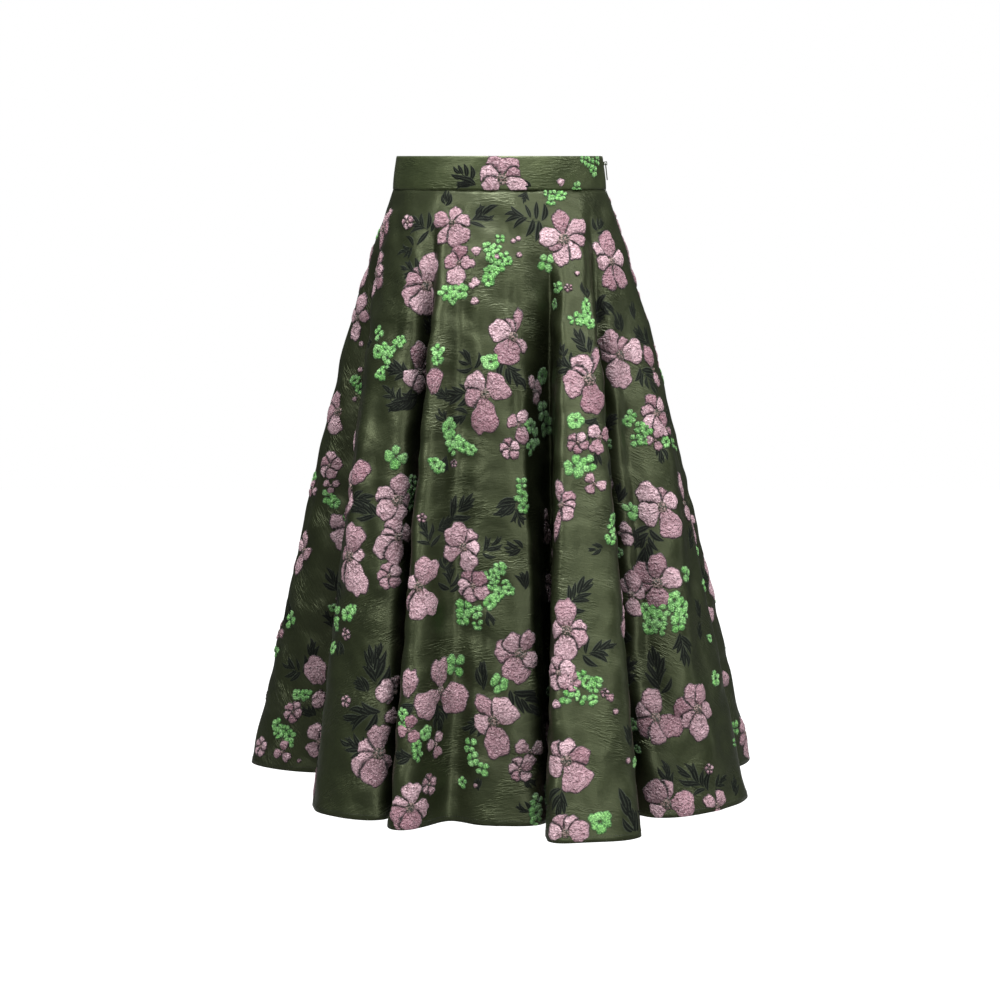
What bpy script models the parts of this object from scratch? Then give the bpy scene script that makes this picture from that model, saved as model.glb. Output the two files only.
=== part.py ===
"""A circle skirt, filled out as it hangs from the waist, with its cloth folds standing round it.

Metres, +Z up. The front faces -Y and the zip is at +X, which is the wearer's left side. The origin is
the middle of the waist, at half the height of the waistband. The tables are in millimetres and degrees:
an azimuth is counted from the front (0) towards +X (90) and on round the back (180).
"""

import math
from collections import namedtuple

import bmesh
import bpy
import numpy as np
from mathutils import Matrix, Vector

MM = 0.001

# The garment's sizes, in millimetres.
LENGTH = 783.0  # from the waistband's top edge to the hem, measured upright
BAND_HEIGHT = 41.0
TOP_HALF_WIDTH, TOP_HALF_DEPTH = 128.0, 92.5  # the waistband's top edge, a girth of 70 cm
SEAM_HALF_WIDTH, SEAM_HALF_DEPTH = 132.5, 97.0  # where the waistband meets the skirt
HEM_RADIUS = 300.0  # the ring that the hem's folds swing in and out of
CLOTH = 1.6  # one layer of the jacquard
BAND_CLOTH = 2.4  # the waistband, folded double
HEM_CLOTH = 2.8  # the hem, turned up twice
HEM_TURN = 8.0
SEAM_GAP = 0.3
DROP = LENGTH - BAND_HEIGHT  # from the waist seam to the hem
BAND_TOP_Z = BAND_HEIGHT / 2

# How the skirt widens: a straight flare, with an easing over the hips that fades out down the skirt.
HIP_SHARE, HIP_FADE = 0.13, 90.0
# How the folds grow: this share of their depth starts at the seam, and all of it is there at FOLDS_FULL.
FOLD_START, FOLDS_FULL = 0.25, 230.0

# One row for each fold, going round from the zip by the back to the front. At the hem a fold has the
# valley before it, then its left lip, its crest and its right lip, each with an azimuth and a distance
# from the axis. valley_width is how wide the valley's floor is. The last four say where round the
# waist seam the valley, lips and crest begin.
Fold = namedtuple(
    "Fold",
    "name valley_az valley_r valley_width left_az left_r crest_az crest_r right_az right_r"
    " waist_valley waist_left waist_crest waist_right",
)
FOLDS = (
    Fold("side_zip", 82, 250, 16, 90, 303, 100, 333, 108, 316, 91, 97, 104, 112),
    Fold("back_1", 119, 248, 14, 125, 306, 135, 352, 145, 320, 119, 124, 132, 141),
    Fold("back_2", 156, 232, 14, 155, 308, 164, 346, 174, 316, 149, 155, 163, 171),
    Fold("back_3", 184, 252, 18, 190, 308, 198, 338, 207, 322, 179, 185, 192, 200),
    Fold("back_4", 217, 236, 14, 220, 314, 231, 349, 243, 306, 208, 214, 222, 232),
    Fold("side_plain", 252, 242, 16, 256, 300, 264, 325, 274.5, 262, 244, 250, 258, 264),
    Fold("front_1", 285, 190, 24, 310, 296, 322, 315, 332, 291, 272, 277, 291, 308),
    Fold("front_roll", 332.5, 205, 12, 335.8, 318, 340, 328, 345, 286, 318, 324, 329, 333),
    Fold("front_2", 348.5, 273, 12, 354, 284, 360, 289, 370.5, 283, 337, 345, 355, 367),
    Fold("front_3", 378.5, 203, 12, 369, 359, 375, 375, 386, 372, 392, 407, 413, 416),
    Fold("front_4", 393, 256, 12, 396, 308, 409, 340, 427, 330, 422, 426, 434, 445),
)
POINTS_PER_FOLD = 5
STEPS = 3  # columns of the wall between two of a fold's points
ROWS = 15  # rows of the wall from the waist seam to the hem's turn
ROW_CROWDING = 0.45  # how much closer the rows lie near the waist, from 0 to 1
BAND_COLUMNS = 36  # in each half of the waistband

# The zip at the side seam.
ZIP_BOTTOM = 165.0  # where the zip ends, below the waist seam
TAPE_HALF_WIDTH, TAPE_CLOTH = 12.0, 0.8
COIL_HALF_WIDTH, COIL_HEIGHT = 2.0, 1.4
TAPE_CLEARANCE = 0.5  # between the waistband's inside and the tape
TAPE_BELOW_SLIDER = 1.0
SLIDER_BELOW_TOP = 9.5  # the pull's axis, below the waistband's top edge
SLIDER_WIDTH, SLIDER_LENGTH, SLIDER_DEPTH = 7.0, 9.0, 3.6
FIN_WIDTH = 1.6  # the slider's fin, which comes out through the seam and holds the pull
FIN_HALF_LENGTH = 2.3
FIN_EYE = 1.2  # half the side of the square eye that the pull's crossbar turns in
FIN_ROOF = 0.9
PULL_AXIS_OUT = 3.6  # from the middle of the waistband's wall out to the pull's axis
PULL_THICKNESS, PULL_BAR = 1.2, 1.3
PULL_HEAD_HALF_WIDTH, PULL_TIP_HALF_WIDTH, PULL_LENGTH = 2.5, 3.4, 21.0
WINDOW_HALF_WIDTH, WINDOW_LENGTH = 1.3, 3.4
NOTCH_HALF_WIDTH = FIN_WIDTH / 2 + 0.4
NOTCH_HALF_LENGTH = FIN_HALF_LENGTH + 0.5


def clear_scene():
    for obj in list(bpy.data.objects):
        bpy.data.objects.remove(obj)


def make_material(name, colour, roughness, metallic=0.0):
    material = bpy.data.materials.new(name)
    material.use_nodes = True
    shader = material.node_tree.nodes["Principled BSDF"]
    shader.inputs["Base Color"].default_value = (*colour, 1.0)
    shader.inputs["Roughness"].default_value = roughness
    shader.inputs["Metallic"].default_value = metallic
    return material


# ---- The skirt's surface -------------------------------------------------------------------------


def polar(azimuth, radius):
    """The point at an azimuth and radius, as (towards +X, towards the front)."""
    angle = math.radians(azimuth)
    return np.array([math.sin(angle), math.cos(angle)]) * radius


def on_ellipse(azimuth, half_width, half_depth):
    angle = math.radians(azimuth)
    radius = 1 / math.hypot(math.sin(angle) / half_width, math.cos(angle) / half_depth)
    return polar(azimuth, radius)


def fold_points(fold):
    """(hem azimuth, hem radius, waist azimuth) of a fold's five points, from its valley to its right lip."""
    floor = math.degrees(fold.valley_width / 2 / fold.valley_r)
    waist_floor = 0.6 * floor
    return (
        (fold.valley_az - floor, fold.valley_r, fold.waist_valley - waist_floor),
        (fold.valley_az + floor, fold.valley_r, fold.waist_valley + waist_floor),
        (fold.left_az, fold.left_r, fold.waist_left),
        (fold.crest_az, fold.crest_r, fold.waist_crest),
        (fold.right_az, fold.right_r, fold.waist_right),
    )


ALL_POINTS = [point for fold in FOLDS for point in fold_points(fold)]
RING = np.array([polar(azimuth, HEM_RADIUS) for azimuth, _, _ in ALL_POINTS])
SWING = np.array([polar(azimuth, radius) for azimuth, radius, _ in ALL_POINTS]) - RING


def waist_oval(drop):
    """Half the waist's width and depth, which narrow from the seam up to the band's top edge."""
    rise = min(max(-drop / BAND_HEIGHT, 0.0), 1.0)
    half_width = SEAM_HALF_WIDTH + (TOP_HALF_WIDTH - SEAM_HALF_WIDTH) * rise
    half_depth = SEAM_HALF_DEPTH + (TOP_HALF_DEPTH - SEAM_HALF_DEPTH) * rise
    return half_width, half_depth


def waist_points(drop):
    half_width, half_depth = waist_oval(drop)
    return np.array([on_ellipse(waist, half_width, half_depth) for _, _, waist in ALL_POINTS])


def flare(drop):
    """From 0 at the waist seam to 1 at the hem."""
    return (1 - HIP_SHARE) * drop / DROP + HIP_SHARE * (1 - math.exp(-drop / HIP_FADE))


def fold_depth(drop):
    ramp = min(1.0, drop / FOLDS_FULL)
    return flare(drop) * (FOLD_START + (1 - FOLD_START) * ramp * ramp * (3 - 2 * ramp))


def smooth_loop(points, steps):
    """A closed cubic spline through the points, with its curvature unbroken, steps points to each stretch."""
    count = len(points)
    ahead, behind = np.roll(points, -1, axis=0), np.roll(points, 1, axis=0)
    length = np.sqrt(np.linalg.norm(ahead - points, axis=1))
    before = np.roll(length, 1)
    index = np.arange(count)
    system = np.zeros((count, count))
    system[index, index] = 2 * (1 / before + 1 / length)
    system[index, (index - 1) % count] += 1 / before
    system[index, (index + 1) % count] += 1 / length
    slopes = np.linalg.solve(
        system,
        3 * ((points - behind) / before[:, None] ** 2 + (ahead - points) / length[:, None] ** 2),
    )
    leaving = (slopes * length[:, None])[:, None]
    arriving = (np.roll(slopes, -1, axis=0) * length[:, None])[:, None]
    t = np.linspace(0, 1, steps, endpoint=False)[None, :, None]
    curve = (
        (2 * t**3 - 3 * t**2 + 1) * points[:, None]
        + (t**3 - 2 * t**2 + t) * leaving
        + (3 * t**2 - 2 * t**3) * ahead[:, None]
        + (t**3 - t**2) * arriving
    )
    return curve.reshape(-1, 2)


def section(drop, steps=STEPS):
    """The middle of the wall at a drop below the waist seam, all round; above the seam it is negative."""
    if drop <= 0:
        return smooth_loop(waist_points(drop), steps)
    spread = flare(drop)
    return smooth_loop(
        waist_points(drop) * (1 - spread) + RING * spread + SWING * fold_depth(drop), steps
    )


def directions(curve):
    """The unit tangent and the unit outward normal at each point of a closed curve."""
    tangent = np.roll(curve, -1, axis=0) - np.roll(curve, 1, axis=0)
    tangent /= np.linalg.norm(tangent, axis=1)[:, None]
    return tangent, np.column_stack([-tangent[:, 1], tangent[:, 0]])


def place(point, drop):
    """A plan point at a drop, in metres in the garment's frame."""
    return (point[0] * MM, -point[1] * MM, (BAND_TOP_Z - BAND_HEIGHT - drop) * MM)


# ---- Walls of cloth ------------------------------------------------------------------------------

# Columns are counted from the zip's seam, round by the back.
PLAIN_SEAM = [fold.name for fold in FOLDS].index("front_1") * POINTS_PER_FOLD * STEPS
ALL_ROUND = len(ALL_POINTS) * STEPS
BACK_COLUMNS = range(PLAIN_SEAM + 1)
FRONT_COLUMNS = range(PLAIN_SEAM, ALL_ROUND + 1)
BAND_BACK_COLUMNS = range(BAND_COLUMNS + 1)
BAND_FRONT_COLUMNS = range(BAND_COLUMNS, 2 * BAND_COLUMNS + 1)


def panel_drops():
    """The drops of a panel's rows, which lie closer near the waist, down to where the hem's turn begins."""
    steps = np.linspace(0, 1, ROWS + 1)
    return SEAM_GAP + (DROP - HEM_TURN - SEAM_GAP) * steps * (1 - ROW_CROWDING * (1 - steps))


def wall_row(curve, columns, drop, thickness, end_gap):
    """The outside and inside points of one row of a wall, with its ends drawn back by end_gap."""
    tangent, normal = directions(curve)
    picked = [column % len(curve) for column in columns]
    middle = curve[picked]
    middle[0] += tangent[picked[0]] * end_gap
    middle[-1] -= tangent[picked[-1]] * end_gap
    offset = normal[picked] * thickness / 2
    outside = [place(point, drop) for point in middle + offset]
    inside = [place(point, drop) for point in middle - offset]
    return outside, inside


def add_object(name, mesh, material, collection):
    mesh.materials.append(material)
    mesh.shade_smooth()
    mesh.set_sharp_from_angle(angle=math.radians(40))
    obj = bpy.data.objects.new(name, mesh)
    collection.objects.link(obj)
    return obj


def wall(name, rows, material, collection):
    """A closed wall from rows of (outside points, inside points), top row first."""
    bm = bmesh.new()
    grids = [
        [[bm.verts.new(point) for point in row[side]] for row in rows] for side in (0, 1)
    ]
    outer, inner = grids
    last_row, last_column = len(rows) - 1, len(rows[0][0]) - 1
    for r in range(last_row):
        for c in range(last_column):
            bm.faces.new((outer[r][c], outer[r][c + 1], outer[r + 1][c + 1], outer[r + 1][c]))
            bm.faces.new((inner[r][c], inner[r + 1][c], inner[r + 1][c + 1], inner[r][c + 1]))
        for c in (0, last_column):
            bm.faces.new((outer[r][c], outer[r + 1][c], inner[r + 1][c], inner[r][c]))
    for r in (0, last_row):
        for c in range(last_column):
            bm.faces.new((outer[r][c], inner[r][c], inner[r][c + 1], outer[r][c + 1]))
    bmesh.ops.recalc_face_normals(bm, faces=bm.faces)
    mesh = bpy.data.meshes.new(name)
    bm.to_mesh(mesh)
    bm.free()
    return add_object(name, mesh, material, collection)


def panel(name, columns, material, collection):
    """A skirt panel, from the waist seam to the hem, with the hem's turn as a thicker edge."""
    layers = [(drop, CLOTH) for drop in panel_drops()]
    layers += [(drop, HEM_CLOTH) for drop in (DROP - HEM_TURN + 1.0, DROP)]
    rows = [
        wall_row(section(drop), columns, drop, thickness, SEAM_GAP / 2) for drop, thickness in layers
    ]
    return wall(name, rows, material, collection)


def band_ring(height):
    """The waistband's oval at a height above the waist seam, in even steps round from the zip."""
    half_width, half_depth = waist_oval(-height)
    turn = np.radians(np.arange(2 * BAND_COLUMNS) * 180 / BAND_COLUMNS + 90)
    return np.column_stack([np.sin(turn) * half_width, np.cos(turn) * half_depth])


def band(name, columns, material, collection):
    """Half of the waistband, with a rounded top edge and room at the zip seam for the slider's fin."""
    axis = BAND_HEIGHT - SLIDER_BELOW_TOP
    notch_top, notch_bottom = axis + NOTCH_HALF_LENGTH, axis - NOTCH_HALF_LENGTH
    zip_end = 0 if columns[0] == 0 else -1
    layers = (  # height above the seam, share of the wall's thickness, room at the zip seam
        (BAND_HEIGHT, 0.45, SEAM_GAP / 2),
        (BAND_HEIGHT - 0.3, 0.8, SEAM_GAP / 2),
        (BAND_HEIGHT - 1.0, 1.0, SEAM_GAP / 2),
        (notch_top + 0.1, 1.0, SEAM_GAP / 2),
        (notch_top, 1.0, NOTCH_HALF_WIDTH),
        (notch_bottom, 1.0, NOTCH_HALF_WIDTH),
        (notch_bottom - 0.1, 1.0, SEAM_GAP / 2),
        (BAND_HEIGHT * 0.35, 1.0, SEAM_GAP / 2),
        (0.0, 1.0, SEAM_GAP / 2),
    )
    rows = []
    for height, share, room in layers:
        ring, thickness = band_ring(height), BAND_CLOTH * share
        row = wall_row(ring, columns, -height, thickness, SEAM_GAP / 2)
        opened = wall_row(ring, columns, -height, thickness, room)
        for face, open_face in zip(row, opened):
            face[zip_end] = open_face[zip_end]
        rows.append(row)
    return wall(name, rows, material, collection)


# ---- The zip -------------------------------------------------------------------------------------


def beside_seam(drop, along, inward):
    """A point near the zip seam: along it round the skirt, and in from the middle of the wall."""
    curve = section(drop)
    _, normal = directions(curve)
    reach = 2 * POINTS_PER_FOLD
    near = [i % len(curve) for i in range(-reach, reach + 1)]
    run = np.concatenate([[0], np.cumsum(np.linalg.norm(np.diff(curve[near], axis=0), axis=1))])
    run -= run[reach]
    at = [np.interp(along, run, curve[near][:, axis]) for axis in (0, 1)]
    out = [np.interp(along, run, normal[near][:, axis]) for axis in (0, 1)]
    return place(np.array(at) - np.array(out) * inward, drop)


def zip_tape(material, collection):
    """The two tapes, closed, with the coil as a rib down their middle on the inside."""
    start = BAND_CLOTH / 2 + TAPE_CLEARANCE
    half = (COIL_HALF_WIDTH, COIL_HALF_WIDTH + 0.5, 5.0, 7.5, TAPE_HALF_WIDTH - 2, TAPE_HALF_WIDTH)
    alongs = [-along for along in reversed(half)] + list(half)
    top = -BAND_HEIGHT + SLIDER_BELOW_TOP + SLIDER_LENGTH / 2 + TAPE_BELOW_SLIDER
    rows = []
    for drop in (top, top / 2, 0.0, *(drop for drop in panel_drops() if drop < ZIP_BOTTOM), ZIP_BOTTOM):
        outside = [beside_seam(drop, along, start) for along in alongs]
        depths = [COIL_HEIGHT if abs(along) <= COIL_HALF_WIDTH else 0.0 for along in alongs]
        inside = [
            beside_seam(drop, along, start + TAPE_CLOTH + depth)
            for along, depth in zip(alongs, depths)
        ]
        rows.append((outside, inside))
    return wall("zip_tape", rows, material, collection)


def zip_frame():
    """The zip's own frame at the pull's axis: x out of the waistband, y round it, z up along its slope."""
    drop = -BAND_HEIGHT + SLIDER_BELOW_TOP
    at = Vector(beside_seam(drop, 0.0, 0.0))
    up = (Vector(beside_seam(-BAND_HEIGHT, 0.0, 0.0)) - Vector(beside_seam(0.0, 0.0, 0.0))).normalized()
    across = Vector((0.0, 1.0, 0.0))
    out = across.cross(up).normalized()
    frame = Matrix((out, across, up)).transposed().to_4x4()
    frame.translation = at + out * PULL_AXIS_OUT * MM
    return frame


def box(name, low, high):
    """A box between two corners, in millimetres."""
    bm = bmesh.new()
    bmesh.ops.create_cube(bm, size=1.0)
    size = [(b - a) * MM for a, b in zip(low, high)]
    middle = [(a + b) / 2 * MM for a, b in zip(low, high)]
    bmesh.ops.scale(bm, vec=size, verts=bm.verts)
    bmesh.ops.translate(bm, vec=middle, verts=bm.verts)
    mesh = bpy.data.meshes.new(name)
    bm.to_mesh(mesh)
    bm.free()
    return bpy.data.objects.new(name, mesh)


def boolean(obj, operation, other):
    modifier = obj.modifiers.new(other.name, "BOOLEAN")
    modifier.operation = operation
    modifier.object = other


def hide_cutter(obj, frame, collection):
    obj.matrix_world = frame
    obj.hide_render = True
    obj.display_type = "WIRE"
    collection.objects.link(obj)
    return obj


def zip_slider(frame, material, collection, cutters):
    """The slider: its body behind the seam, and a fin through the seam with an eye for the pull."""
    body_out = -PULL_AXIS_OUT - BAND_CLOTH / 2 - TAPE_CLEARANCE
    obj = box(
        "zip_slider",
        (body_out - SLIDER_DEPTH, -SLIDER_WIDTH / 2, -SLIDER_LENGTH / 2),
        (body_out, SLIDER_WIDTH / 2, SLIDER_LENGTH / 2),
    )
    bevel = obj.modifiers.new("rounded edges", "BEVEL")
    bevel.width = 0.7 * MM
    bevel.segments = 2
    fin = box(
        "slider_fin",
        (body_out - 0.8, -FIN_WIDTH / 2, -FIN_HALF_LENGTH),
        (FIN_EYE + FIN_ROOF, FIN_WIDTH / 2, FIN_HALF_LENGTH),
    )
    eye = box("slider_eye", (-FIN_EYE, -FIN_WIDTH, -FIN_EYE), (FIN_EYE, FIN_WIDTH, FIN_EYE))
    boolean(obj, "UNION", hide_cutter(fin, frame, cutters))
    boolean(obj, "DIFFERENCE", hide_cutter(eye, frame, cutters))
    obj.data.materials.append(material)
    obj.matrix_world = frame
    collection.objects.link(obj)
    return obj


def arc(centre, radius, start, stop, count):
    """Points on an arc, in degrees from the first axis."""
    angles = [math.radians(start + (stop - start) * i / (count - 1)) for i in range(count)]
    return [
        (centre[0] + radius * math.cos(angle), centre[1] + radius * math.sin(angle))
        for angle in angles
    ]


def zip_pull(frame, material, collection):
    """The pull: a drop-shaped tab with a window at its head, whose top bar turns in the slider's eye."""
    head_radius = 0.9
    head = PULL_BAR / 2
    tip = -PULL_LENGTH + PULL_TIP_HALF_WIDTH
    corner = PULL_HEAD_HALF_WIDTH - head_radius
    outline = (
        arc((corner, head - head_radius), head_radius, 0, 90, 4)
        + arc((-corner, head - head_radius), head_radius, 90, 180, 4)
        + arc((0, tip), PULL_TIP_HALF_WIDTH, 184, 356, 11)
    )
    window_top, window_bottom = -head, -head - WINDOW_LENGTH
    window = [
        (-WINDOW_HALF_WIDTH, window_top),
        (-WINDOW_HALF_WIDTH, window_bottom),
        (WINDOW_HALF_WIDTH, window_bottom),
        (WINDOW_HALF_WIDTH, window_top),
    ]
    curve = bpy.data.curves.new("zip_pull", "CURVE")
    curve.dimensions = "2D"
    curve.fill_mode = "BOTH"
    curve.extrude = PULL_THICKNESS / 2 * MM
    for points in (outline, window):
        spline = curve.splines.new("POLY")
        spline.points.add(len(points) - 1)
        for point, (across, up) in zip(spline.points, points):
            point.co = (across * MM, up * MM, 0.0, 1.0)
        spline.use_cyclic_u = True
    drawn = bpy.data.objects.new("zip_pull_outline", curve)
    collection.objects.link(drawn)
    mesh = bpy.data.meshes.new_from_object(drawn.evaluated_get(bpy.context.evaluated_depsgraph_get()))
    bpy.data.objects.remove(drawn)
    bm = bmesh.new()
    bm.from_mesh(mesh)
    bmesh.ops.remove_doubles(bm, verts=bm.verts, dist=0.01 * MM)
    bmesh.ops.recalc_face_normals(bm, faces=bm.faces)
    bm.to_mesh(mesh)
    bm.free()
    mesh.name = "zip_pull"
    obj = add_object("zip_pull", mesh, material, collection)
    standing = Matrix(((0, 0, 1, 0), (1, 0, 0, 0), (0, 1, 0, 0), (0, 0, 0, 1)))
    obj.matrix_world = frame @ standing
    return obj


def main():
    clear_scene()
    skirt = bpy.data.collections.new("circle_skirt")
    cutters = bpy.data.collections.new("cutters")
    for collection in (skirt, cutters):
        bpy.context.scene.collection.children.link(collection)
    jacquard = make_material("dark olive jacquard", (0.045, 0.055, 0.028), 0.42)
    tape = make_material("dark green zip tape", (0.02, 0.028, 0.016), 0.8)
    metal = make_material("dark enamelled metal", (0.03, 0.04, 0.025), 0.35, 0.6)
    panel("skirt_front", FRONT_COLUMNS, jacquard, skirt)
    panel("skirt_back", BACK_COLUMNS, jacquard, skirt)
    band("waistband_front", BAND_FRONT_COLUMNS, jacquard, skirt)
    band("waistband_back", BAND_BACK_COLUMNS, jacquard, skirt)
    zip_tape(tape, skirt)
    frame = zip_frame()
    zip_slider(frame, metal, skirt, cutters)
    zip_pull(frame, metal, skirt)


main()
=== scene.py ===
"""The looks of a circle skirt: satin jacquard with raised blossoms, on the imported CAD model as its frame.

Metres, +Z up. The front faces -Y and the zip is at +X. The tables are in millimetres and degrees, and
places on the front are in pixels of the photograph, 1000 by 1000. Around the skirt, columns are counted
from the zip at +X by the back, and rows from the waist seam down.
"""

import math
from collections import namedtuple

import bpy
import numpy as np
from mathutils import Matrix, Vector
from mathutils.bvhtree import BVHTree

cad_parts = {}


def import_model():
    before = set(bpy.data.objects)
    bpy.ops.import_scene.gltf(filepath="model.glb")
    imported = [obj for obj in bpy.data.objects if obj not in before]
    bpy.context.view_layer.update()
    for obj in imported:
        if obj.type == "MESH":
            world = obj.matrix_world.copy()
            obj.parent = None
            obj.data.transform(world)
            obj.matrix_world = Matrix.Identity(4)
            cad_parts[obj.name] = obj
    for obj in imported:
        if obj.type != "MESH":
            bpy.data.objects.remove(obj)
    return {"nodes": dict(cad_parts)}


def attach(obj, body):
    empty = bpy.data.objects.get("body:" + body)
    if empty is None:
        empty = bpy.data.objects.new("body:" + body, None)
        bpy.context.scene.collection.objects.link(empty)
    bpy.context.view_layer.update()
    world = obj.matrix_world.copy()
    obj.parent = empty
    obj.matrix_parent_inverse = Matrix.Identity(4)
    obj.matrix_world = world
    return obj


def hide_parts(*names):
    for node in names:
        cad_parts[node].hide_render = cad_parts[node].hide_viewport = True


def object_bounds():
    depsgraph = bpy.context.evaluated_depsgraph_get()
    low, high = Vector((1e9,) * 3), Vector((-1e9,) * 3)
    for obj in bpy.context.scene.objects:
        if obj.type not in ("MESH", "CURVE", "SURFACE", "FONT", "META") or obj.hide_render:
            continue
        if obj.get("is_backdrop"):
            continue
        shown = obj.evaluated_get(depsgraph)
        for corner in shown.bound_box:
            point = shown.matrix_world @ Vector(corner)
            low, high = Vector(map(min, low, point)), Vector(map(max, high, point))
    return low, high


MM = 0.001
UP = (0.0, 0.0, 1.0)
WHITE = (1, 1, 1, 1)

# ---- The garment's shape, as the CAD has it ------------------------------------------------------

BAND_HEIGHT = 41.0
DROP = 742.0  # from the waist seam to the hem
TOP_HALF_WIDTH, TOP_HALF_DEPTH = 128.0, 92.5
SEAM_HALF_WIDTH, SEAM_HALF_DEPTH = 132.5, 97.0
HEM_RADIUS = 300.0
HIP_SHARE, HIP_FADE = 0.13, 90.0
FOLD_START, FOLDS_FULL = 0.25, 230.0
SEAM_GAP = 0.3
WAIST_FLOOR = 0.6  # how wide a fold's valley is at the waist, as a share of the angle it has at the hem
BAND_FULLNESS = 0.7

Fold = namedtuple(
    "Fold",
    "name valley_az valley_r valley_width left_az left_r crest_az crest_r right_az right_r"
    " waist_valley waist_left waist_crest waist_right",
)
FOLDS = (
    Fold("side_zip", 82, 250, 16, 90, 303, 100, 333, 108, 316, 91, 97, 104, 112),
    Fold("back_1", 119, 248, 14, 125, 306, 135, 352, 145, 320, 119, 124, 132, 141),
    Fold("back_2", 156, 232, 14, 155, 308, 164, 346, 174, 316, 149, 155, 163, 171),
    Fold("back_3", 184, 252, 18, 190, 308, 198, 338, 207, 322, 179, 185, 192, 200),
    Fold("back_4", 217, 236, 14, 220, 314, 231, 349, 243, 306, 208, 214, 222, 232),
    Fold("side_plain", 252, 242, 16, 256, 300, 264, 325, 274.5, 262, 244, 250, 258, 264),
    Fold("front_1", 285, 190, 24, 310, 296, 322, 315, 332, 291, 272, 277, 291, 308),
    Fold("front_roll", 332.5, 205, 12, 335.8, 318, 340, 328, 345, 286, 318, 324, 329, 333),
    Fold("front_2", 348.5, 273, 12, 354, 284, 360, 289, 370.5, 283, 337, 345, 355, 367),
    Fold("front_3", 378.5, 203, 12, 369, 359, 375, 375, 386, 372, 392, 407, 413, 416),
    Fold("front_4", 393, 256, 12, 396, 308, 409, 340, 427, 330, 422, 426, 434, 445),
)
POINTS_PER_FOLD = 5
PLAIN_SEAM = [fold.name for fold in FOLDS].index("front_1") * POINTS_PER_FOLD  # in stations

# The panels as cut: parts of a ring of cloth, with its inner radius and its angle.
Panel = namedtuple("Panel", "first last radius spread")
BACK_PANEL = Panel(0, PLAIN_SEAM, 190.0, 109.6)
FRONT_PANEL = Panel(PLAIN_SEAM, len(FOLDS) * POINTS_PER_FOLD, 223.0, 93.2)

# ---- The finer cloth of this model ----------------------------------------------------------------

STEPS = 12  # columns to each of a fold's points
ROWS = 138
CLOTH = 0.9
HEM_TURN, HEM_EXTRA = 8.0, 1.0  # how deep the turned hem is and how much thicker than the cloth
HEM_STITCHES = 6.0  # above the hem's edge
STITCH_PITCH, STITCH, STITCH_HALF_WIDTH, STITCH_HEIGHT = 3.4, 2.5, 0.35, 0.35
BAND_ROWS, BAND_COLUMNS = 16, 216
BAND_CLOTH, BAND_EDGE = 2.0, 0.9  # how thick the waistband is, and its top edge
BAND_HALF_GIRTH = 360.0
# How open the cloth lies is found with this many rays, at some rows and columns, out to so many metres.
OPEN_RAYS, OPEN_ROWS, OPEN_COLUMNS, OPEN_REACH = 28, 5, 5, 0.3
CLEAR_LIFT = 2.0  # how far off the cloth a ray starts
# The zip's coil: its ends' heights, a turn's height and how far in it lies from the middle of the wall.
COIL_BOTTOM, COIL_TOP, COIL_PITCH, COIL_INSIDE = -183.5, 4.5, 1.2, 4.0
# A turn's half width, how far it lies to its side, and its radii from the wall and up it.
COIL_HALF_WIDTH, COIL_STAGGER, COIL_DEPTH, COIL_RISE = 2.0, 0.35, 0.4, 0.42

# ---- The camera, which sets where a pixel of the photograph is ------------------------------------

CAMERA_DISTANCE = 3.2  # in metres, in front of the waist's middle
CAMERA_PITCH = 7.726  # down
FOCAL_PIXELS = 2535.6
CENTRE_X, CENTRE_Y = 499.5, 500.0
IMAGE = 1000.0
SENSOR = 36.0
CAMERA_AT = Vector((0.0, -CAMERA_DISTANCE, BAND_HEIGHT / 2 * MM))
PIXEL = 1.27  # millimetres on the front to a pixel


def add_camera():
    data = bpy.data.cameras.new("camera")
    data.sensor_width = SENSOR
    data.lens = SENSOR * FOCAL_PIXELS / IMAGE
    data.shift_x = (IMAGE / 2 - CENTRE_X) / IMAGE
    camera = bpy.data.objects.new("camera", data)
    camera.location = CAMERA_AT
    camera.rotation_euler = (math.radians(90 - CAMERA_PITCH), 0.0, 0.0)
    bpy.context.scene.collection.objects.link(camera)
    bpy.context.scene.camera = camera


def pixel_direction(x, y):
    """The direction of the view's ray through a pixel of the photograph."""
    pitch = math.radians(CAMERA_PITCH)
    right, down = (x - CENTRE_X) / FOCAL_PIXELS, (y - CENTRE_Y) / FOCAL_PIXELS
    forward = Vector((0.0, math.cos(pitch), -math.sin(pitch)))
    under = Vector((0.0, -math.sin(pitch), -math.cos(pitch)))
    return (forward + Vector((1.0, 0.0, 0.0)) * right + under * down).normalized()


# ---- The skirt's surface --------------------------------------------------------------------------


def polar(azimuth, radius):
    angle = math.radians(azimuth)
    return np.array([math.sin(angle), math.cos(angle)]) * radius


def on_ellipse(azimuth, half_width, half_depth):
    angle = math.radians(azimuth)
    radius = 1 / math.hypot(math.sin(angle) / half_width, math.cos(angle) / half_depth)
    return polar(azimuth, radius)


def fold_points(fold):
    floor = math.degrees(fold.valley_width / 2 / fold.valley_r)
    waist_floor = WAIST_FLOOR * floor
    return (
        (fold.valley_az - floor, fold.valley_r, fold.waist_valley - waist_floor),
        (fold.valley_az + floor, fold.valley_r, fold.waist_valley + waist_floor),
        (fold.left_az, fold.left_r, fold.waist_left),
        (fold.crest_az, fold.crest_r, fold.waist_crest),
        (fold.right_az, fold.right_r, fold.waist_right),
    )


ALL_POINTS = [point for fold in FOLDS for point in fold_points(fold)]
RING = np.array([polar(azimuth, HEM_RADIUS) for azimuth, _, _ in ALL_POINTS])
SWING = np.array([polar(azimuth, radius) for azimuth, radius, _ in ALL_POINTS]) - RING
WAIST = np.array([on_ellipse(waist, SEAM_HALF_WIDTH, SEAM_HALF_DEPTH) for _, _, waist in ALL_POINTS])


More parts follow.
